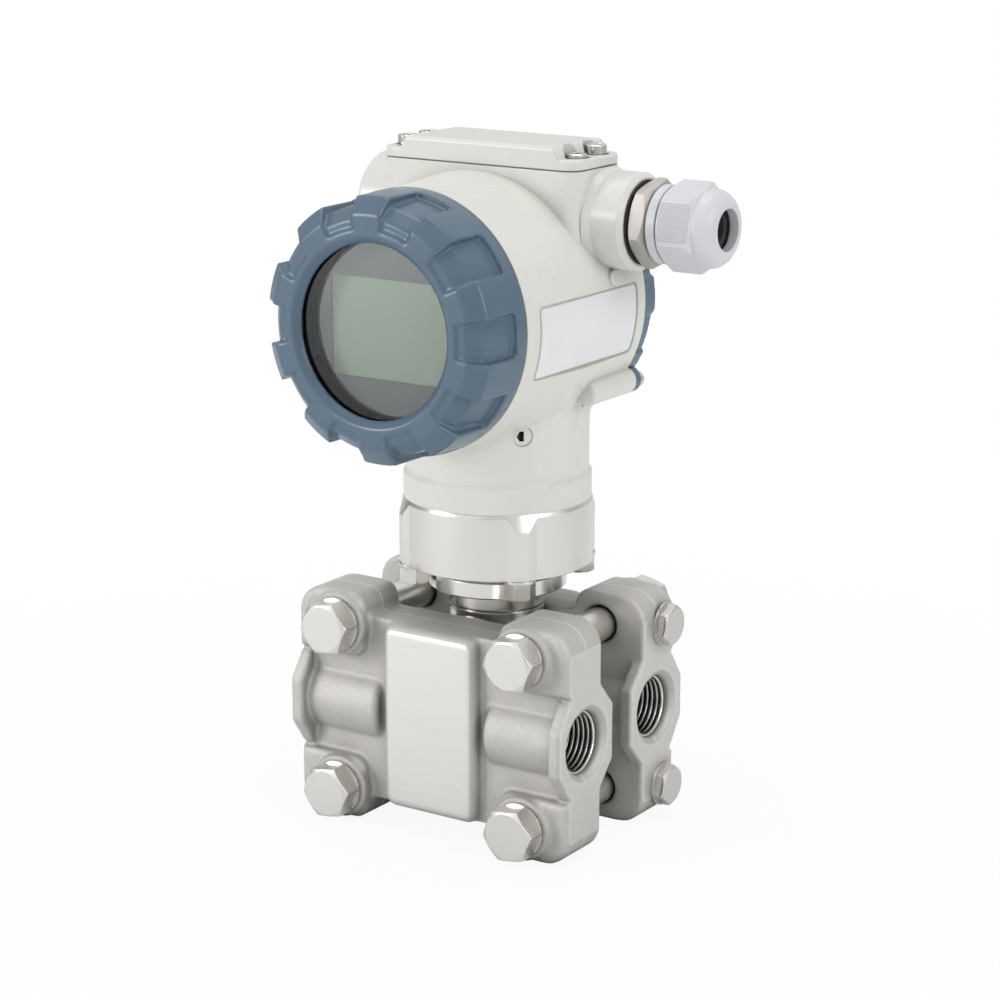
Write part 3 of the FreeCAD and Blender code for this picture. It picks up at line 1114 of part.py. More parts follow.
# ================================================================ assembly
def make_pieces():
    """Every piece by name. A group of like fasteners is one entry."""
    plugs = [end_plug(level) for level in (-1, 1)]
    pieces = {
        "process_flange_front": place_front(process_flange(False)),
        "process_flange_rear": place_rear(process_flange(True)),
        "tie_bolts": Part.makeCompound([tie_bolt(x, z) for x, z in corners()]),
        "tie_bolt_nuts": Part.makeCompound([tie_nut(x, z) for x, z in corners()]),
        "flange_end_plugs": Part.makeCompound([place_rear(plug) for plug in plugs]),
        "sensor_capsule": sensor_capsule(),
        "diaphragm_front": diaphragm(-1),
        "diaphragm_rear": diaphragm(1),
        "process_gasket_front": process_gasket(-1),
        "process_gasket_rear": process_gasket(1),
        "sensor_stem": sensor_stem(),
        "clamp_collar": clamp_collar(),
        "clamp_collar_screws": Part.makeCompound([clamp_screw(angle) for angle in clamp_angles()]),
        "neck_seal": neck_seal(),
        "housing": housing(),
        "top_lid": top_lid(),
        "lid_gasket": lid_gasket(),
        "top_lid_screws": Part.makeCompound([lid_screw(x, y) for x, y in lid_screw_places()]),
        "zero_key": setting_key(key_places()[0]),
        "span_key": setting_key(key_places()[1]),
        "label_plate": label_plate(),
        "housing_lock_screw": housing_lock_screw(),
        "conduit_plug": conduit_plug(),
        "rear_cover_clamp": rear_cover_clamp(),
        "cover_clamp_screw": cover_clamp_screw(),
        "front_cover": front_cover(),
        "window_gasket": window_gasket(),
        "front_window": front_window(),
        "window_retainer": window_retainer(),
        "front_cover_seal": cover_seal(BARREL_FRONT, 1),
        "rear_cover": rear_cover(),
        "rear_cover_seal": cover_seal(BARREL_REAR, -1),
        "display_module": display_module(),
        "lcd_panel": lcd_panel(),
        "electronics_module": electronics_module(),
        "terminal_block": terminal_block(),
        "terminal_screws": Part.makeCompound([terminal_screw(x) for x in terminal_places()]),
        "gland_washer": gland_washer(),
        "gland_lock_nut": gland_lock_nut(),
        "gland_body": gland_body(),
        "gland_cap": gland_cap(),
        "gland_seal": gland_seal(),
    }
    return pieces


def main():
    """Build, move to the resting frame and write one file per piece."""
    os.makedirs("parts", exist_ok=True)
    pieces = make_pieces()
    box = Part.makeCompound(list(pieces.values())).optimalBoundingBox(False)
    shift = V(-(box.XMin + box.XMax) / 2, -(box.YMin + box.YMax) / 2, -box.ZMin)
    for name, shape in pieces.items():
        solid = solids_only(shape.translated(shift))
        solid.exportStep("parts/" + name + ".step")
        print("%-22s solids %d valid %s" % (name, len(solid.Solids), solid.isValid()))
    print("shift %.4f %.4f %.4f" % (shift.x, shift.y, shift.z))
    print("size %.2f %.2f %.2f" % (box.XLength, box.YLength, box.ZLength))


main()
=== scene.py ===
# %% [markdown]
# # A differential pressure transmitter
# The instrument measures the pressure difference between two pipes. A stainless
# measuring cell with two bolted flanges carries a painted housing with a display.
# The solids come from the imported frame, and this lesson gives them their finishes,
# adds the threads and the fine parts, and sets up a plain studio.

# %% Load the frame
import math

import bpy
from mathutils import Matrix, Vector
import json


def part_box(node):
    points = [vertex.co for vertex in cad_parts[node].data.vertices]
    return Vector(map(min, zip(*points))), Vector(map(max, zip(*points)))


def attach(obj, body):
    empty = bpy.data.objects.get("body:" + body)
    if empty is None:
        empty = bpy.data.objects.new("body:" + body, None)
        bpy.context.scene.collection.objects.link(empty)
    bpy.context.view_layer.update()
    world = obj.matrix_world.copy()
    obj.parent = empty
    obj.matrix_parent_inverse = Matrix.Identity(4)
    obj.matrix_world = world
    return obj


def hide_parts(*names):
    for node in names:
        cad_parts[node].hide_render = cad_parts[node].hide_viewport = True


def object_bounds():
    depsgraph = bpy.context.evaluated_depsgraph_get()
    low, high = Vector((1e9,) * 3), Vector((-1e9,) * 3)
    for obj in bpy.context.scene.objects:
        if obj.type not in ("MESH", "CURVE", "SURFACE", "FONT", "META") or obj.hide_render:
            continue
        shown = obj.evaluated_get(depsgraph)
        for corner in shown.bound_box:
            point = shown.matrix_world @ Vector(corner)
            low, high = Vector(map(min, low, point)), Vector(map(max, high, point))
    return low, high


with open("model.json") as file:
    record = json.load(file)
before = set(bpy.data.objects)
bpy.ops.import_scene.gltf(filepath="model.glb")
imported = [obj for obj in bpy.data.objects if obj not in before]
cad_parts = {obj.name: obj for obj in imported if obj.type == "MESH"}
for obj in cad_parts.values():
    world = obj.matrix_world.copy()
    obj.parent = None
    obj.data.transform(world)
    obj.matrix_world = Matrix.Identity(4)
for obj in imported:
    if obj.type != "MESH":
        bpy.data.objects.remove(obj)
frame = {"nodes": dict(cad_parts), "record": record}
CAD_BOX = [list(corner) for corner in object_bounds()]
print("nodes", len(frame["nodes"]), "box", CAD_BOX)

# %% [markdown]
# ## Places
# Everything is placed from the solids' own boxes, so that nothing slips when a size
# changes. Four lines matter: the neck's upright axis, the barrel's axis from front
# to back, the gland's axis to the right, and the height of the process ports.

# %% Axes of the instrument
MM = 0.001
ORIGIN = (0.0, 0.0, 0.0)


def box_of(node):
    """Lowest corner, highest corner and middle of a solid."""
    low, high = (Vector(corner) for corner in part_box(node))
    return low, high, (low + high) / 2


STEM = box_of("sensor_stem")[2]
COVER = box_of("front_cover")[2]
NUT = box_of("gland_lock_nut")[2]
flange_low, flange_high, FLANGE = box_of("process_flange_front")
BACK = box_of("process_flange_rear")[2]
CELL = (FLANGE + BACK) / 2
PORT_FROM_MIDDLE = 21.4 * MM
PORT_Z = FLANGE.z
PORT_FRONT_Y = CELL.y - PORT_FROM_MIDDLE
PORT_REAR_Y = CELL.y + PORT_FROM_MIDDLE
print("neck", STEM.x, STEM.y, "barrel", COVER.x, COVER.z, "gland", NUT.y, NUT.z, "cell", CELL)

# %% [markdown]
# ## Camera
# The view is from the front right and a little above, with a long lens, which keeps
# the upright lines nearly parallel. The camera is placed on a sphere round the neck.

# %% Place the camera
AZIMUTH = math.radians(33.65)
PITCH = math.radians(14.43)
DISTANCE = 0.8935
AIM_RIGHT = 0.9 * MM
AIM_ABOVE_PORTS = 65.43 * MM
target = Vector((STEM.x + AIM_RIGHT, STEM.y, PORT_Z + AIM_ABOVE_PORTS))
level = math.cos(PITCH)
away = Vector((math.sin(AZIMUTH) * level, -math.cos(AZIMUTH) * level, math.sin(PITCH)))
bpy.ops.object.camera_add(location=target + away * DISTANCE, rotation=(math.pi / 2 - PITCH, 0.0, AZIMUTH))
camera = bpy.context.object
camera.name = "camera"
camera.data.sensor_width = 36.0
camera.data.lens = 99.19
camera.data.clip_start = 0.01
camera.data.dof.use_dof = False
bpy.context.scene.camera = camera
bpy.context.scene.view_settings.view_transform = "Standard"
print("camera at", camera.location)

# %% [markdown]
# ## Shader sheet
# A small class stands for one socket of a shader. Python's operators on it add Math
# nodes, so that a mask reads like the sum that it is. Every other node comes from one
# method, `add`, which sets the node's options first and then its inputs.


# %% A socket that can be reckoned with
class Wire:
    """One output socket; operators on it add Math nodes."""

    def __init__(self, sheet, socket):
        self.sheet = sheet
        self.socket = socket

    def sum_with(self, operation, *values):
        inputs = {index: value for index, value in enumerate(values)}
        return self.sheet.add("Math", {"operation": operation}, inputs)["Value"]

    def __add__(self, other):
        return self.sum_with("ADD", self, other)

    def __radd__(self, other):
        return self.sum_with("ADD", other, self)

    def __sub__(self, other):
        return self.sum_with("SUBTRACT", self, other)

    def __rsub__(self, other):
        return self.sum_with("SUBTRACT", other, self)

    def __mul__(self, other):
        return self.sum_with("MULTIPLY", self, other)

    def __rmul__(self, other):
        return self.sum_with("MULTIPLY", other, self)

    def __truediv__(self, other):
        return self.sum_with("DIVIDE", self, other)

    def __abs__(self):
        return self.sum_with("ABSOLUTE", self)

    def __lt__(self, other):
        return self.sum_with("LESS_THAN", self, other)

    def __gt__(self, other):
        return self.sum_with("GREATER_THAN", self, other)

    def root(self):
        return self.sum_with("SQRT", self)

    def wave(self):
        return self.sum_with("SINE", self)

    def clipped(self):
        return self.sum_with("MINIMUM", self.sum_with("MAXIMUM", self, 0.0), 1.0)


class Parts:
    """The outputs of one node, by name."""

    def __init__(self, sheet, node):
        self.sheet = sheet
        self.node = node

    def __getitem__(self, name):
        return Wire(self.sheet, self.node.outputs[name])


class Sheet:
    """The node tree of one finish or of the world."""

    def __init__(self, tree):
        self.tree = tree
        self.tree.nodes.clear()

    def add(self, kind, settings=None, inputs=None, stops=None):
        node = self.tree.nodes.new("ShaderNode" + kind)
        for name, value in (settings or {}).items():
            setattr(node, name, value)
        if stops:
            ramp = node.color_ramp
            while len(ramp.elements) < len(stops):
                ramp.elements.new(0.5)
            for element, (place, colour) in zip(ramp.elements, stops):
                element.position = place
                element.color = colour
        for name, value in (inputs or {}).items():
            if isinstance(value, Wire):
                self.tree.links.new(value.socket, node.inputs[name])
            else:
                node.inputs[name].default_value = value
        return Parts(self, node)


# %% Start and close a finish
def new_finish(name):
    """A new material with an empty sheet."""
    material = bpy.data.materials.new(name)
    material.use_nodes = True
    return material, Sheet(material.node_tree)


def close_finish(sheet, shader):
    """Join a shader to the material's output."""
    sheet.add("OutputMaterial", None, {"Surface": shader})


def rgb(red, green, blue):
    """A colour as seen on the screen, 0 to 255, turned to linear light."""
    parts = []
    for value in (red, green, blue):
        value = value / 255.0
        parts.append(value / 12.92 if value <= 0.04045 else ((value + 0.055) / 1.055) ** 2.4)
    return tuple(parts) + (1.0,)


def place(sheet):
    """Object coordinates, whole and as three numbers."""
    coords = sheet.add("TexCoord")["Object"]
    split = sheet.add("SeparateXYZ", None, {"Vector": coords})
    return coords, split["X"], split["Y"], split["Z"]


def grain(sheet, vector, scale, detail=3.0, roughness=0.5):
    """Noise value between 0 and 1."""
    inputs = {"Vector": vector, "Scale": scale, "Detail": detail, "Roughness": roughness}
    return sheet.add("TexNoise", {"noise_dimensions": "3D"}, inputs)["Fac"]


def stretched(sheet, coords, x, y, z):
    """Coordinates scaled differently along each axis."""
    return sheet.add("Mapping", {"vector_type": "POINT"}, {"Vector": coords, "Scale": (x, y, z)})["Vector"]


def mixed(sheet, factor, one, two):
    """Blend of two colours; they may be plain colours or wires."""
    node = sheet.add("Mix", {"data_type": "RGBA", "blend_type": "MIX"})
    for index, value in ((0, factor), (6, one), (7, two)):
        if isinstance(value, Wire):
            sheet.tree.links.new(value.socket, node.node.inputs[index])
        else:
            node.node.inputs[index].default_value = value
    return Wire(sheet, node.node.outputs[2])


# %% [markdown]
# ## Finishes
# Edges of a cast or pressed part are never knife-sharp. A Bevel node bends the surface
# normal over a fraction of a millimetre, which gives every edge its thin line of light
# without touching the solids. Fine noise in a Bump node adds what the process leaves:
# the peel of powder coat, the frost of bead blasting, the lines of turning.


# %% Powder coat
def soft_edges(sheet, radius_mm, height, strength, distance_mm):
    """Rounded normals with a bump on top."""
    bent = sheet.add("Bevel", {"samples": 6}, {"Radius": radius_mm * MM})["Normal"]
    inputs = {"Height": height, "Strength": strength, "Distance": distance_mm * MM, "Normal": bent}
    return sheet.add("Bump", None, inputs)["Normal"]


def crevice(sheet, reach_mm):
    """1 on open surfaces, falling towards 0 in tight corners; the finishes use it to paint shade into
    corners.
    """
    return sheet.add("AmbientOcclusion", {"samples": 6}, {"Distance": reach_mm * MM})["AO"]


def edge_line(sheet, radius_mm, open_part):
    """1 along outer edges, where the rounded normal leaves the flat one; the finishes use it to paint
    highlights.
    """
    bent = sheet.add("Bevel", {"samples": 6}, {"Radius": radius_mm * MM})["Normal"]
    flat = sheet.add("NewGeometry")["True Normal"]
    same = sheet.add("VectorMath", {"operation": "DOT_PRODUCT"}, {0: bent, 1: flat})["Value"]
    return ((1.0 - same) * 9.0 - 0.8).clipped() * ((open_part - 0.62) * 5.0).clipped()


def powder_coat(name, colour, shade, bright, rough, rounding, edge_highlight=0.0):
    """Satin powder coat with a faint peel, painted shade in the corners and painted highlights along the
    outer edges.
    """
    material, sheet = new_finish(name)
    coords = place(sheet)[0]
    peel = grain(sheet, coords, 900.0, 2.0)
    cloud = grain(sheet, coords, 35.0, 2.0)
    tone = mixed(sheet, cloud, colour, shade)
    # Painted shade: the coat darkens in corners, where shade falls.
    corner_shade_colour = tuple(value * 0.55 for value in shade[:3]) + (1.0,)
    open_part = crevice(sheet, 5.0)
    tone = mixed(sheet, (1.0 - open_part) * 0.7, tone, corner_shade_colour)
    # Painted highlight: outer edges are lightened towards the pale colour, as if catching the light.
    if edge_highlight:
        tone = mixed(sheet, edge_line(sheet, 0.6, open_part) * edge_highlight, tone, bright)
    normal = soft_edges(sheet, rounding, peel, 0.10, 0.1)
    roughness = rough + (cloud - 0.5) * 0.08
    shader = sheet.add("BsdfPrincipled", None, {"Base Color": tone, "Roughness": roughness, "Normal": normal,
                                                "Specular IOR Level": 0.5})["BSDF"]
    close_finish(sheet, shader)
    return material


# Each coat lists its colour, a second tone for the cloudy variation (also the base of the painted corner
# shade), and the pale colour of its painted edge highlights.
GREY_COAT = [rgb(227, 228, 222), rgb(221, 222, 215), rgb(240, 240, 236)]
BLUE_COAT = [rgb(90, 113, 131), rgb(82, 105, 123), rgb(178, 192, 203)]
light_paint = powder_coat("light_paint", *GREY_COAT, 0.28, 0.6)
blue_paint = powder_coat("blue_paint", *BLUE_COAT, 0.27, 0.9, 0.9)


# %% Stainless steel
PAD_DEPTH = 33.9 * MM
PAD_HALF_WIDTH = 17.9 * MM
SEAM_DEPTH = 22.0 * MM
SEAM_HALF = 0.22 * MM
FACE_SKIN = 0.15 * MM
MARK_SIDE = 25.5 * MM
MARK_UP = 20.5 * MM
MARK_WIDE = 2.0 * MM
MARK_TALL = 3.4 * MM
BOLT_SIDE = 35.4 * MM
BOLT_UP = 27.8 * MM


def cast_steel():
    """Bead-blasted casting with machined end faces, a brushed front pad and raised parting lines; shade is
    painted into corners, and highlights onto outer edges and parting lines.
    """
    material, sheet = new_finish("cast_steel")
    coords, x, y, z = place(sheet)
    frost = grain(sheet, coords, 1500.0, 2.0)
    waves = grain(sheet, coords, 90.0, 3.0)
    across = abs(x - CELL.x)
    deep = abs(y - CELL.y)
    end_face = across > (flange_high.x - CELL.x - FACE_SKIN)
    pad = (deep > PAD_DEPTH) * (across < PAD_HALF_WIDTH)
    seam = abs(deep - SEAM_DEPTH) < SEAM_HALF
    mark_y = (y - (CELL.y - MARK_SIDE)) / MARK_WIDE
    mark_z = (z - (CELL.z + MARK_UP)) / MARK_TALL
    mark = abs((mark_y * mark_y + mark_z * mark_z).root() - 1.0) < 0.14
    mark = mark * (x > CELL.x)
    lines_x = grain(sheet, stretched(sheet, coords, 40.0, 1500.0, 1500.0), 1.0, 2.0)
    lines_z = grain(sheet, stretched(sheet, coords, 1500.0, 1500.0, 40.0), 1.0, 2.0)
    lines = pad * lines_x + end_face * lines_z
    smooth = (pad + end_face).clipped()
    rough_part = 1.0 - smooth
    cast_height = rough_part * (frost * 1.0 + waves * 0.5 + seam * 1.4)
    height = cast_height + smooth * lines * 0.12 + mark * end_face * 0.4
    roughness = 0.70 + (frost - 0.5) * 0.10 - smooth * 0.20 + smooth * (lines - 0.5) * 0.10
    tone = mixed(sheet, waves, rgb(216, 214, 210), rgb(200, 198, 194))
    tone = mixed(sheet, frost * 0.55, tone, rgb(180, 178, 174))
    # Painted highlight: besides its raised bump, the parting line is lightened to near white.
    tone = mixed(sheet, seam * rough_part * 0.6, tone, rgb(246, 245, 243))
    tone = mixed(sheet, smooth, tone, mixed(sheet, lines, rgb(216, 214, 211), rgb(228, 226, 223)))
    # Painted shade: the steel darkens to a deep grey in corners and creases, where shade falls.
    open_part = crevice(sheet, 6.0)
    tone = mixed(sheet, (1.0 - open_part) * 0.8, tone, rgb(84, 82, 80))
    # Painted highlight: outer edges are lightened to near white.
    tone = mixed(sheet, edge_line(sheet, 0.5, open_part) * 0.6, tone, rgb(245, 244, 242))
    normal = soft_edges(sheet, 0.8, height, 0.6, 0.12)
    shader = sheet.add("BsdfPrincipled", None, {"Base Color": tone, "Metallic": 1.0, "Roughness": roughness,
                                                "Normal": normal})["BSDF"]
    close_finish(sheet, shader)
    return material


def turned_steel(name, around, colour, rough, rounding=0.3):
    """Turned steel: rings about the four bolt axes, or fine lines along an axis; shade is painted into
    corners and highlights onto outer edges.
    """
    material, sheet = new_finish(name)
    coords, x, y, z = place(sheet)
    if around == "bolts":
        side = abs(x - CELL.x) - BOLT_SIDE
        up = abs(z - CELL.z) - BOLT_UP
        radius = (side * side + up * up).root()
        rings = (radius * 14000.0 + grain(sheet, coords, 60.0) * 2.0).wave() * 0.5 + 0.5
    elif around == "upright":
        rings = grain(sheet, stretched(sheet, coords, 40.0, 40.0, 5200.0), 1.0, 2.0)
    else:
        rings = grain(sheet, stretched(sheet, coords, 5200.0, 40.0, 40.0), 1.0, 2.0)
    cloud = grain(sheet, coords, 120.0)
    roughness = rough + (cloud - 0.5) * 0.05 + (rings - 0.5) * 0.05
    # Painted shade: the steel darkens in tight corners, where shade falls.
    dark = tuple(value * 0.35 for value in colour[:3]) + (1.0,)
    open_part = crevice(sheet, 2.5)
    tone = mixed(sheet, (1.0 - open_part) * 0.6, colour, dark)
    # Painted highlight: outer edges are lightened to near white.
    tone = mixed(sheet, edge_line(sheet, rounding, open_part) * 0.5, tone, rgb(250, 250, 248))
    normal = soft_edges(sheet, rounding, rings, 0.03 if around == "bolts" else 0.004, 0.02)
    shader = sheet.add("BsdfPrincipled", None, {"Base Color": tone, "Metallic": 1.0, "Roughness": roughness,
                                                "Normal": normal})["BSDF"]
    close_finish(sheet, shader)
    return material


flange_steel = cast_steel()
bolt_steel = turned_steel("bolt_steel", "bolts", rgb(228, 226, 222), 0.30)
neck_steel = turned_steel("neck_steel", "upright", rgb(226, 225, 221), 0.20)
screw_steel = turned_steel("screw_steel", "upright", rgb(216, 214, 210), 0.16, 0.25)
thread_steel = turned_steel("thread_steel", "gland", rgb(222, 221, 217), 0.24, 0.15)
nickel = turned_steel("nickel", "gland", rgb(190, 186, 181), 0.55, 0.4)


# %% Plastics, rubber and glass
def plain_plastic(name, colour, rough, bump=0.05, rounding=0.3):
    """Moulded plastic or rubber with a fine grain."""
    material, sheet = new_finish(name)
    coords = place(sheet)[0]
    fine = grain(sheet, coords, 1500.0, 2.0)
    cloud = grain(sheet, coords, 80.0, 2.0)
    dark = tuple(value * 0.94 for value in colour[:3]) + (1.0,)
    tone = mixed(sheet, cloud, colour, dark)
    inputs = {"Base Color": tone, "Roughness": rough + (cloud - 0.5) * 0.06}
    if bump:
        inputs["Normal"] = soft_edges(sheet, rounding, fine, bump, 0.04)
    close_finish(sheet, sheet.add("BsdfPrincipled", None, inputs)["BSDF"])
    return material


SHADE_RING_RADIUS = 27.0 * MM
RING_LINE_HALF = 0.14 * MM


def ringed_plate():
    """Grey faceplate, painted dark beyond a radius as the shade of the cover's rim, with a thin pale line
    painted as the highlight on the disc's edge.
    """
    material, sheet = new_finish("faceplate")
    coords, x, y, z = place(sheet)
    side = x - COVER.x
    up = z - COVER.z
    radius = (side * side + up * up).root()
    # Painted shade: the faceplate turns dark beyond this radius, standing for the shade that the cover's rim
    # casts.
    tone = mixed(sheet, radius > SHADE_RING_RADIUS, rgb(98, 101, 101), rgb(58, 60, 62))
    # Painted highlight: a thin pale line along that radius stands for light on the disc's edge.
    tone = mixed(sheet, abs(radius - SHADE_RING_RADIUS) < RING_LINE_HALF, tone, rgb(150, 152, 152))
    close_finish(sheet, sheet.add("BsdfPrincipled", None, {"Base Color": tone, "Roughness": 0.5})["BSDF"])
    return material


def clear_glass():
    """Thin clear glass: what isn't mirrored at the surface passes through."""
    material, sheet = new_finish("clear_glass")
    mirror = sheet.add("Fresnel", None, {"IOR": 1.45})["Fac"]
    through = sheet.add("BsdfTransparent", None, {"Color": (0.93, 0.95, 0.95, 1.0)})["BSDF"]
    shine = sheet.add("BsdfGlossy", None, {"Color": (1.0, 1.0, 1.0, 1.0), "Roughness": 0.02})["BSDF"]
    shader = sheet.add("MixShader", None, {0: mirror, 1: through, 2: shine})["Shader"]
    close_finish(sheet, shader)
    return material


nylon = plain_plastic("nylon", rgb(218, 219, 224), 0.38, 0.06)
rubber = plain_plastic("rubber", rgb(34, 34, 35), 0.62, 0.15)
dark_plastic = plain_plastic("dark_plastic", rgb(40, 41, 43), 0.45)
frame_plastic = plain_plastic("frame_plastic", rgb(92, 96, 94), 0.4, 0.0)
seal_rubber = plain_plastic("seal_rubber", rgb(70, 71, 74), 0.6, 0.15)
ptfe = plain_plastic("ptfe", rgb(232, 232, 228), 0.5)
faceplate = ringed_plate()
display = plain_plastic("display", rgb(172, 190, 165), 0.3, 0.0)
label_sheet = plain_plastic("label_sheet", rgb(236, 238, 240), 0.3, 0.0)
# Painted shade: the lid's gasket is mid grey to stand for the thin shade in the seam between lid and box.
lid_seam_shade = plain_plastic("lid_seam_shade", rgb(150, 150, 146), 0.6, 0.1)
plated_brass = turned_steel("plated_brass", "gland", rgb(196, 188, 165), 0.35)
glass = clear_glass()

# %% Give the solids their finishes
FINISH_OF_SLOT = {
    "cast_stainless": flange_steel, "bright_stainless": screw_steel, "brushed_stainless": neck_steel,
    "light_grey_paint": light_paint, "blue_grey_paint": blue_paint, "white_ptfe": ptfe,
    "black_rubber": rubber, "dark_rubber_seal": seal_rubber, "dark_plastic": dark_plastic,
    "label_film": label_sheet, "clear_glass": glass, "faceplate_grey": faceplate,
    "display_green": display, "brass_plated": plated_brass, "nickel_plated": nickel,
    "pale_grey_nylon": nylon,
}
FINISH_OF_NODE = {
    "tie_bolts": bolt_steel, "tie_bolt_nuts": bolt_steel, "sensor_stem": neck_steel,
    "sensor_capsule": neck_steel, "lid_gasket": lid_seam_shade,
}
for part in frame["record"]["subparts"]:
    solid = frame["nodes"][part["node"]]
    finish = FINISH_OF_NODE.get(part["node"], FINISH_OF_SLOT[part["material_slot"]])
    solid.data.materials.clear()
    solid.data.materials.append(finish)
print("finishes given to", len(frame["nodes"]), "solids")

# %% [markdown]
# ## Pieces too fine for the solids
# Four kinds of small detail are added: the threads of the process ports, the grip
# ribs of the gland's cap, the frame of the display and the clamp screw's round head.
# The covers and flanges also get softer edges. Each piece is modelled at its place,
# which is then written into its mesh, so that it can ride on a body of the frame.


# %% Helpers for new pieces
def alone(piece):
    """Select one piece and make it active."""
    bpy.ops.object.select_all(action="DESELECT")
    piece.select_set(True)
    bpy.context.view_layer.objects.active = piece
    return piece


def apply_modifier(piece, name, kind, **settings):
    """Add a modifier, set it and apply it."""
    modifier = alone(piece).modifiers.new(name, kind)
    for key, value in settings.items():
        setattr(modifier, key, value)
    bpy.ops.object.modifier_apply(modifier=name)


def pick_faces(piece, test):
    """Enter edit mode with just those faces selected that pass a test."""
    bpy.ops.object.mode_set(mode="EDIT")
    bpy.ops.mesh.select_mode(type="FACE")
    bpy.ops.mesh.select_all(action="DESELECT")
    bpy.ops.object.mode_set(mode="OBJECT")
    for face in piece.data.polygons:
        face.select = test(face)
    bpy.ops.object.mode_set(mode="EDIT")


def finish_piece(piece, name, finish, body):
    """Write the place into the mesh, then give the piece its name, finish and body."""
    alone(piece)
    bpy.ops.object.transform_apply(location=True, rotation=True, scale=True)
    piece.name = name
    piece.data.name = name
    piece.data.materials.clear()
    piece.data.materials.append(finish)
    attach(piece, body)
    print(name, "faces", len(piece.data.polygons))
    return piece


# %% [markdown]
# ## Rounded castings
# Both covers and both flanges are castings, and a casting has no sharp outer edge. A
# copy of each solid is remeshed in fine cubes and smoothed, which rounds every edge by
# about a millimetre, and then faces are collapsed where the surface is nearly flat.


# %% Round the castings
def rounded_casting(node, name, body, cube_mm, passes, finish):
    """Softened copy of a solid, which takes its place in the picture."""
    alone(frame["nodes"][node])
    bpy.ops.object.duplicate()
    copy = bpy.context.object
    bpy.ops.object.mode_set(mode="EDIT")
    bpy.ops.mesh.select_all(action="SELECT")
    bpy.ops.mesh.remove_doubles(threshold=0.00001)
    bpy.ops.object.mode_set(mode="OBJECT")
    apply_modifier(copy, "cubes", "REMESH", mode="VOXEL", voxel_size=cube_mm * MM, adaptivity=0.0)
    apply_modifier(copy, "round", "SMOOTH", factor=0.5, iterations=passes)
    apply_modifier(copy, "save", "DECIMATE", decimate_type="COLLAPSE", ratio=0.4)
    alone(copy)
    bpy.ops.object.shade_smooth()
    finish_piece(copy, name, finish, body)
    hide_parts(node)
    return copy


for cover, cube_mm in (("front_cover", 0.5), ("rear_cover", 0.6)):
    rounded_casting(cover, cover + "_rounded", cover + "_turning", cube_mm, 2, blue_paint)
for flange in ("process_flange_front", "process_flange_rear"):
    rounded_casting(flange, flange + "_rounded", "measuring_cell", 0.6, 4, flange_steel)

# %% [markdown]
# ## Threads of the process ports
# A pipe adapter screws into each end of both flanges. The thread is a V groove on a
# helix, 14 turns to the inch. A triangle the width of one pitch stands on the bore's
# wall, and a Screw modifier carries it round the port's axis, one pitch at each turn.

# %% Cut the threads
THREAD_PITCH = 25.4 / 14 * MM
THREAD_TURNS = 8
THREAD_STEPS = 40
THREAD_WALL = 10.45 * MM
THREAD_START = 2.4 * MM
CORNER = THREAD_PITCH / math.sqrt(3.0)


def port_thread(name, side, port_y):
    """Helical ridge in one port; side is 1 at the right end and -1 at the left."""
    mouth = flange_high.x if side > 0 else flange_low.x
    bpy.ops.object.select_all(action="DESELECT")
    bpy.ops.mesh.primitive_circle_add(vertices=3, radius=CORNER, fill_type="NOTHING", location=ORIGIN)
    ridge = bpy.context.object
    ridge.rotation_euler = (-math.pi / 2, 0.0, 0.0)
    bpy.ops.object.transform_apply(location=False, rotation=True, scale=False)
    bpy.ops.object.mode_set(mode="EDIT")
    bpy.ops.mesh.select_all(action="SELECT")
    bpy.ops.transform.translate(value=(0.0, 0.0, THREAD_WALL - CORNER / 2))
    bpy.ops.object.mode_set(mode="OBJECT")
    apply_modifier(ridge, "helix", "SCREW", axis="X", angle=2 * math.pi,
                   screw_offset=-side * THREAD_PITCH, iterations=THREAD_TURNS,
                   steps=THREAD_STEPS, render_steps=THREAD_STEPS, use_merge_vertices=False)
    bpy.ops.object.mode_set(mode="EDIT")
    bpy.ops.mesh.select_all(action="SELECT")
    bpy.ops.mesh.fill_holes(sides=4)
    bpy.ops.mesh.select_all(action="SELECT")
    bpy.ops.mesh.normals_make_consistent(inside=False)
    bpy.ops.object.mode_set(mode="OBJECT")
    ridge.location = (mouth - side * THREAD_START, port_y, PORT_Z)
    return finish_piece(ridge, name, thread_steel, "measuring_cell")


for flange_name, port_y in (("front", PORT_FRONT_Y), ("rear", PORT_REAR_Y)):
    for side_name, side in (("right", 1), ("left", -1)):
        port_thread("port_thread_" + flange_name + "_" + side_name, side, port_y)

# %% [markdown]
# ## Grip ribs of the gland's cap
# The nylon cap is tightened by hand before a spanner takes over, so every other flat
# of its hexagon is moulded with fine ribs. One rib is a bar with rounded edges, and an
# Array modifier repeats it across the flat.

# %% Rib the cap
cap_low = box_of("gland_cap")[0]
CAP_FLAT = 12.3 * MM
RIB_LENGTH = 10.6 * MM
RIB_WIDTH = 0.9 * MM
RIB_HEIGHT = 0.42 * MM
RIB_EDGE = 0.12 * MM
RIB_SUNK = 0.1 * MM
RIB_PITCH = 0.7 * MM
RIB_COUNT = 18
RIB_START = 6.4 * MM


def flat_turns(node):
    """The directions in which a hexagon's six flats face, in degrees about the X axis."""
    spread = {}
    for face in frame["nodes"][node].data.polygons:
        if abs(face.normal.x) < 0.01:
            turn = round(math.degrees(math.atan2(face.normal.z, face.normal.y))) % 360
            spread[turn] = spread.get(turn, 0.0) + face.area
    return sorted(sorted(spread, key=spread.get)[-6:])


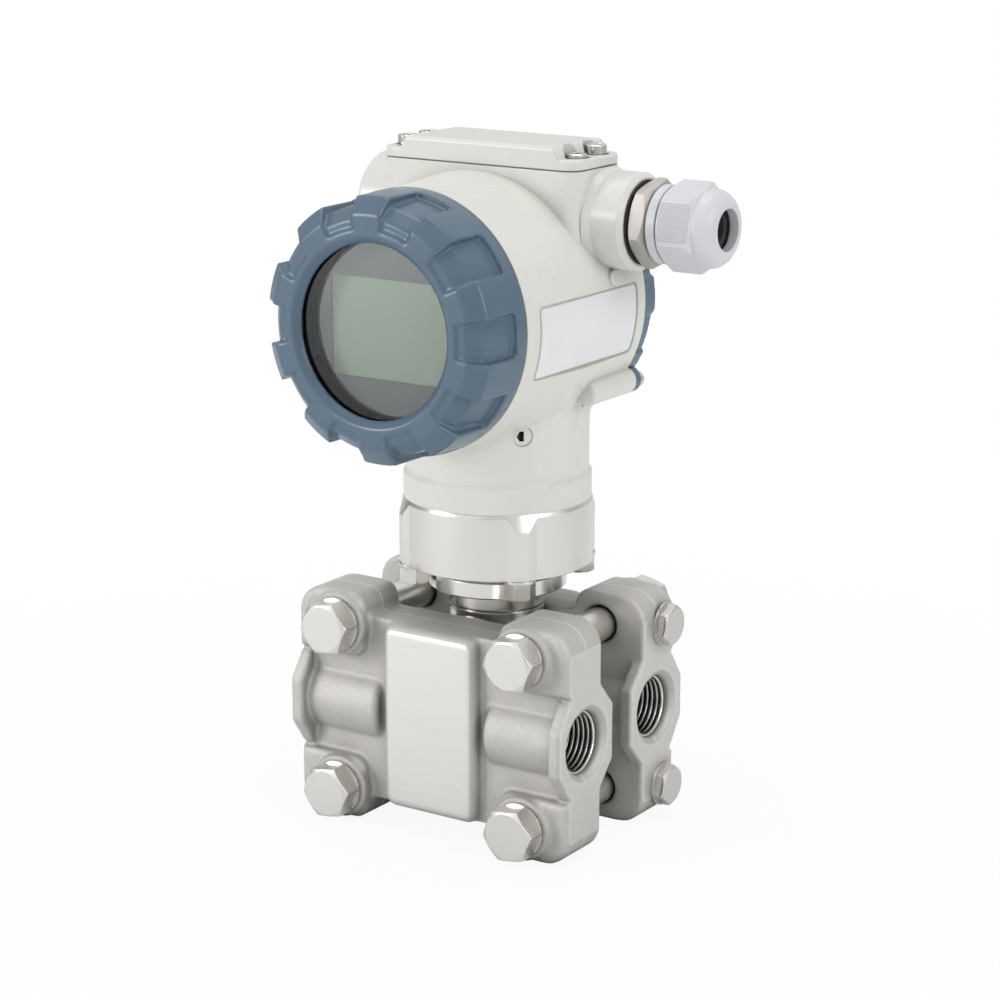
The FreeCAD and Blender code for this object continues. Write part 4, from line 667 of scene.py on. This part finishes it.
turns = flat_turns("gland_cap")
NEAR_TURN = math.degrees(math.atan2(away.z, away.y))
nearest = min(range(6), key=lambda index: abs(turns[index] - NEAR_TURN))
print("flats of the cap face", turns, "ribs start at", turns[nearest])
for number in range(3):
    turn = turns[(nearest + 2 * number) % 6]
    bpy.ops.object.select_all(action="DESELECT")
    bpy.ops.mesh.primitive_cube_add(size=1.0, location=ORIGIN)
    rib = bpy.context.object
    bpy.ops.object.mode_set(mode="EDIT")
    bpy.ops.mesh.select_all(action="SELECT")
    bpy.ops.transform.resize(value=(RIB_LENGTH, RIB_WIDTH, RIB_HEIGHT))
    bpy.ops.mesh.bevel(offset=RIB_EDGE, segments=2, affect="EDGES")
    bpy.ops.mesh.select_all(action="SELECT")
    bpy.ops.transform.translate(value=(0.0, CAP_FLAT - RIB_SUNK, -RIB_PITCH * (RIB_COUNT - 1) / 2))
    bpy.ops.object.mode_set(mode="OBJECT")
    apply_modifier(rib, "row", "ARRAY", count=RIB_COUNT, use_relative_offset=False,
                   use_constant_offset=True, constant_offset_displace=(0.0, 0.0, RIB_PITCH))
    rib.rotation_euler = (math.radians(turn), 0.0, 0.0)
    rib.location = (cap_low.x + RIB_START, NUT.y, NUT.z)
    finish_piece(rib, "cap_ribs_" + str(number + 1), nylon, "gland_cap_turning")

# %% [markdown]
# ## Frame of the display
# A narrow dark frame holds the display's glass in the faceplate. It is a plane cut to
# the opening, inset to leave a border, and thickened to the depth of the recess.

# %% Frame the display
BORDER_WIDTH = 0.55 * MM
BORDER_DEPTH = 0.45 * MM
BORDER_EDGE = 0.12 * MM
lcd_low, lcd_high, LCD = box_of("lcd_panel")
lcd_front = (LCD.x, lcd_low.y, LCD.z)
bpy.ops.object.select_all(action="DESELECT")
bpy.ops.mesh.primitive_plane_add(size=1.0, location=lcd_front, rotation=(math.pi / 2, 0.0, 0.0))
border = bpy.context.object
border.scale = (lcd_high.x - lcd_low.x, lcd_high.z - lcd_low.z, 1.0)
bpy.ops.object.transform_apply(location=False, rotation=False, scale=True)
bpy.ops.object.mode_set(mode="EDIT")
bpy.ops.mesh.select_all(action="SELECT")
bpy.ops.mesh.inset(thickness=BORDER_WIDTH)
bpy.ops.mesh.delete(type="FACE")
bpy.ops.object.mode_set(mode="OBJECT")
apply_modifier(border, "depth", "SOLIDIFY", thickness=BORDER_DEPTH, offset=1.0)
apply_modifier(border, "edges", "BEVEL", width=BORDER_EDGE, segments=2, limit_method="ANGLE")
finish_piece(border, "display_frame", frame_plastic, "head")

# %% [markdown]
# ## Clamp screw
# The rear cover's clamp is held by a socket screw with a tall round head. A cylinder
# gets a rounded rim and a shank, and a six-sided bar is taken out of it for the key.

# %% Make the clamp screw
pin_low, _, PIN = box_of("cover_clamp_screw")
plate_high = box_of("rear_cover_clamp")[1]
HEAD_LENGTH = 4.4 * MM
HEAD_RADIUS = 2.6 * MM
HEAD_EDGE = 1.1 * MM
SHANK_RADIUS = 1.5 * MM
KEY_RADIUS = 1.35 * MM
KEY_LENGTH = 4.0 * MM
bpy.ops.object.select_all(action="DESELECT")
bpy.ops.mesh.primitive_cylinder_add(vertices=48, radius=HEAD_RADIUS, depth=HEAD_LENGTH, location=ORIGIN)
screw = bpy.context.object
pick_faces(screw, lambda face: face.normal.z > 0.9)
bpy.ops.mesh.bevel(offset=HEAD_EDGE, segments=5, affect="EDGES")
pick_faces(screw, lambda face: face.normal.z < -0.9)
bpy.ops.mesh.inset(thickness=HEAD_RADIUS - SHANK_RADIUS)
bpy.ops.mesh.extrude_region_move(TRANSFORM_OT_translate={"value": (0.0, 0.0, pin_low.y - plate_high.y)})
bpy.ops.object.mode_set(mode="OBJECT")
bpy.ops.object.select_all(action="DESELECT")
head_top = (0.0, 0.0, HEAD_LENGTH / 2)
bpy.ops.mesh.primitive_cylinder_add(vertices=6, radius=KEY_RADIUS, depth=KEY_LENGTH, location=head_top)
key_bar = bpy.context.object
apply_modifier(screw, "socket", "BOOLEAN", operation="DIFFERENCE", object=key_bar, solver="EXACT")
bpy.data.objects.remove(key_bar)
alone(screw)
bpy.ops.object.shade_smooth_by_angle(angle=math.radians(35))
screw.rotation_euler = (-math.pi / 2, 0.0, 0.0)
screw.location = (PIN.x, plate_high.y + HEAD_LENGTH / 2, PIN.z)
finish_piece(screw, "clamp_screw_round_head", screw_steel, "head")
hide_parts("cover_clamp_screw")

# %% [markdown]
# ## Studio
# The floor is a pale sheet that turns to plain white away from the instrument. Soft
# lamps give the light. Metal needs something to mirror, so a sphere of light and grey
# bands stands round the scene, which only reflections can see.

# %% Floor, walls and sky
floor_z = CAD_BOX[0][2]
bpy.ops.object.select_all(action="DESELECT")
bpy.ops.mesh.primitive_plane_add(size=30.0, location=(0.0, 0.0, floor_z))
floor = bpy.context.object
floor.name = "floor"
floor_finish, sheet = new_finish("floor_paper")
coords, x, y, z = place(sheet)
paper = sheet.add("BsdfPrincipled", None, {"Base Color": (0.9, 0.9, 0.9, 1.0), "Roughness": 0.9})["BSDF"]
seen = sheet.add("LightPath")["Is Camera Ray"]
bare = sheet.add("Emission", None, {"Color": (1.0, 1.0, 1.0, 1.0), "Strength": 1.0})["Emission"]
distance = (x * x + y * y).root()
FADE_START = 0.09
fade = ((distance - FADE_START) * 3.0).clipped() * 0.08 + 0.92
both = sheet.add("MixShader", None, {0: seen * fade, 1: paper, 2: bare})["Shader"]
close_finish(sheet, both)
floor.data.materials.append(floor_finish)

bpy.ops.mesh.primitive_uv_sphere_add(segments=48, ring_count=24, radius=6.0, location=ORIGIN)
walls = bpy.context.object
walls.name = "studio_walls"
walls_finish, sheet = new_finish("studio_walls")
coords, x, y, z = place(sheet)
turn = x.sum_with("ARCTAN2", x, 0.0 - y) * (0.5 / math.pi) + 0.5
GREYS = [(0.00, 0.80), (0.08, 0.62), (0.22, 0.25), (0.32, 0.35), (0.38, 1.00), (0.52, 0.95), (0.56, 0.50),
         (0.66, 0.55), (0.69, 1.00), (0.80, 0.95), (0.86, 0.35), (1.00, 0.80)]
stops = [(at, (grey, grey, grey, 1.0)) for at, grey in GREYS]
bands = sheet.add("ValToRGB", None, {"Fac": turn}, stops)["Color"]
height = (z * 0.22).clipped()
tone = mixed(sheet, height, bands, (0.9, 0.9, 0.9, 1.0))
mirrored = sheet.add("LightPath")["Is Glossy Ray"]
clear = sheet.add("BsdfTransparent")["BSDF"]
screen = sheet.add("Emission", None, {"Color": tone, "Strength": 1.0})["Emission"]
close_finish(sheet, sheet.add("MixShader", None, {0: mirrored, 1: clear, 2: screen})["Shader"])
walls.data.materials.append(walls_finish)

world = bpy.data.worlds.new("studio")
bpy.context.scene.world = world
world.use_nodes = True
sky = Sheet(world.node_tree)
rays = sky.add("LightPath")
white = (rays["Is Camera Ray"] + rays["Is Glossy Ray"] + rays["Is Transmission Ray"]).clipped()
power = 0.50 + white * 0.50
backdrop = sky.add("Background", None, {"Color": (1.0, 1.0, 1.0, 1.0), "Strength": power})["Background"]
sky.add("OutputWorld", None, {"Surface": backdrop})


# %% Lamps
def soft_lamp(name, place_at, aim, size, watts):
    """Square soft lamp aimed at a point."""
    direction = Vector(aim) - Vector(place_at)
    turn = direction.to_track_quat("-Z", "Y").to_euler()
    bpy.ops.object.light_add(type="AREA", location=place_at, rotation=turn)
    lamp = bpy.context.object
    lamp.name = name
    lamp.data.shape = "SQUARE"
    lamp.data.size = size
    lamp.data.energy = watts
    return lamp


middle = Vector((STEM.x, STEM.y, 0.10))
soft_lamp("lamp_left", middle + Vector((-0.85, -1.1, 0.35)), middle, 0.45, 6.8)
soft_lamp("lamp_right", middle + Vector((1.3, -0.2, 0.6)), middle, 0.6, 5.4)
soft_lamp("lamp_top", middle + Vector((-0.1, 0.1, 1.4)), middle, 0.9, 6.3)
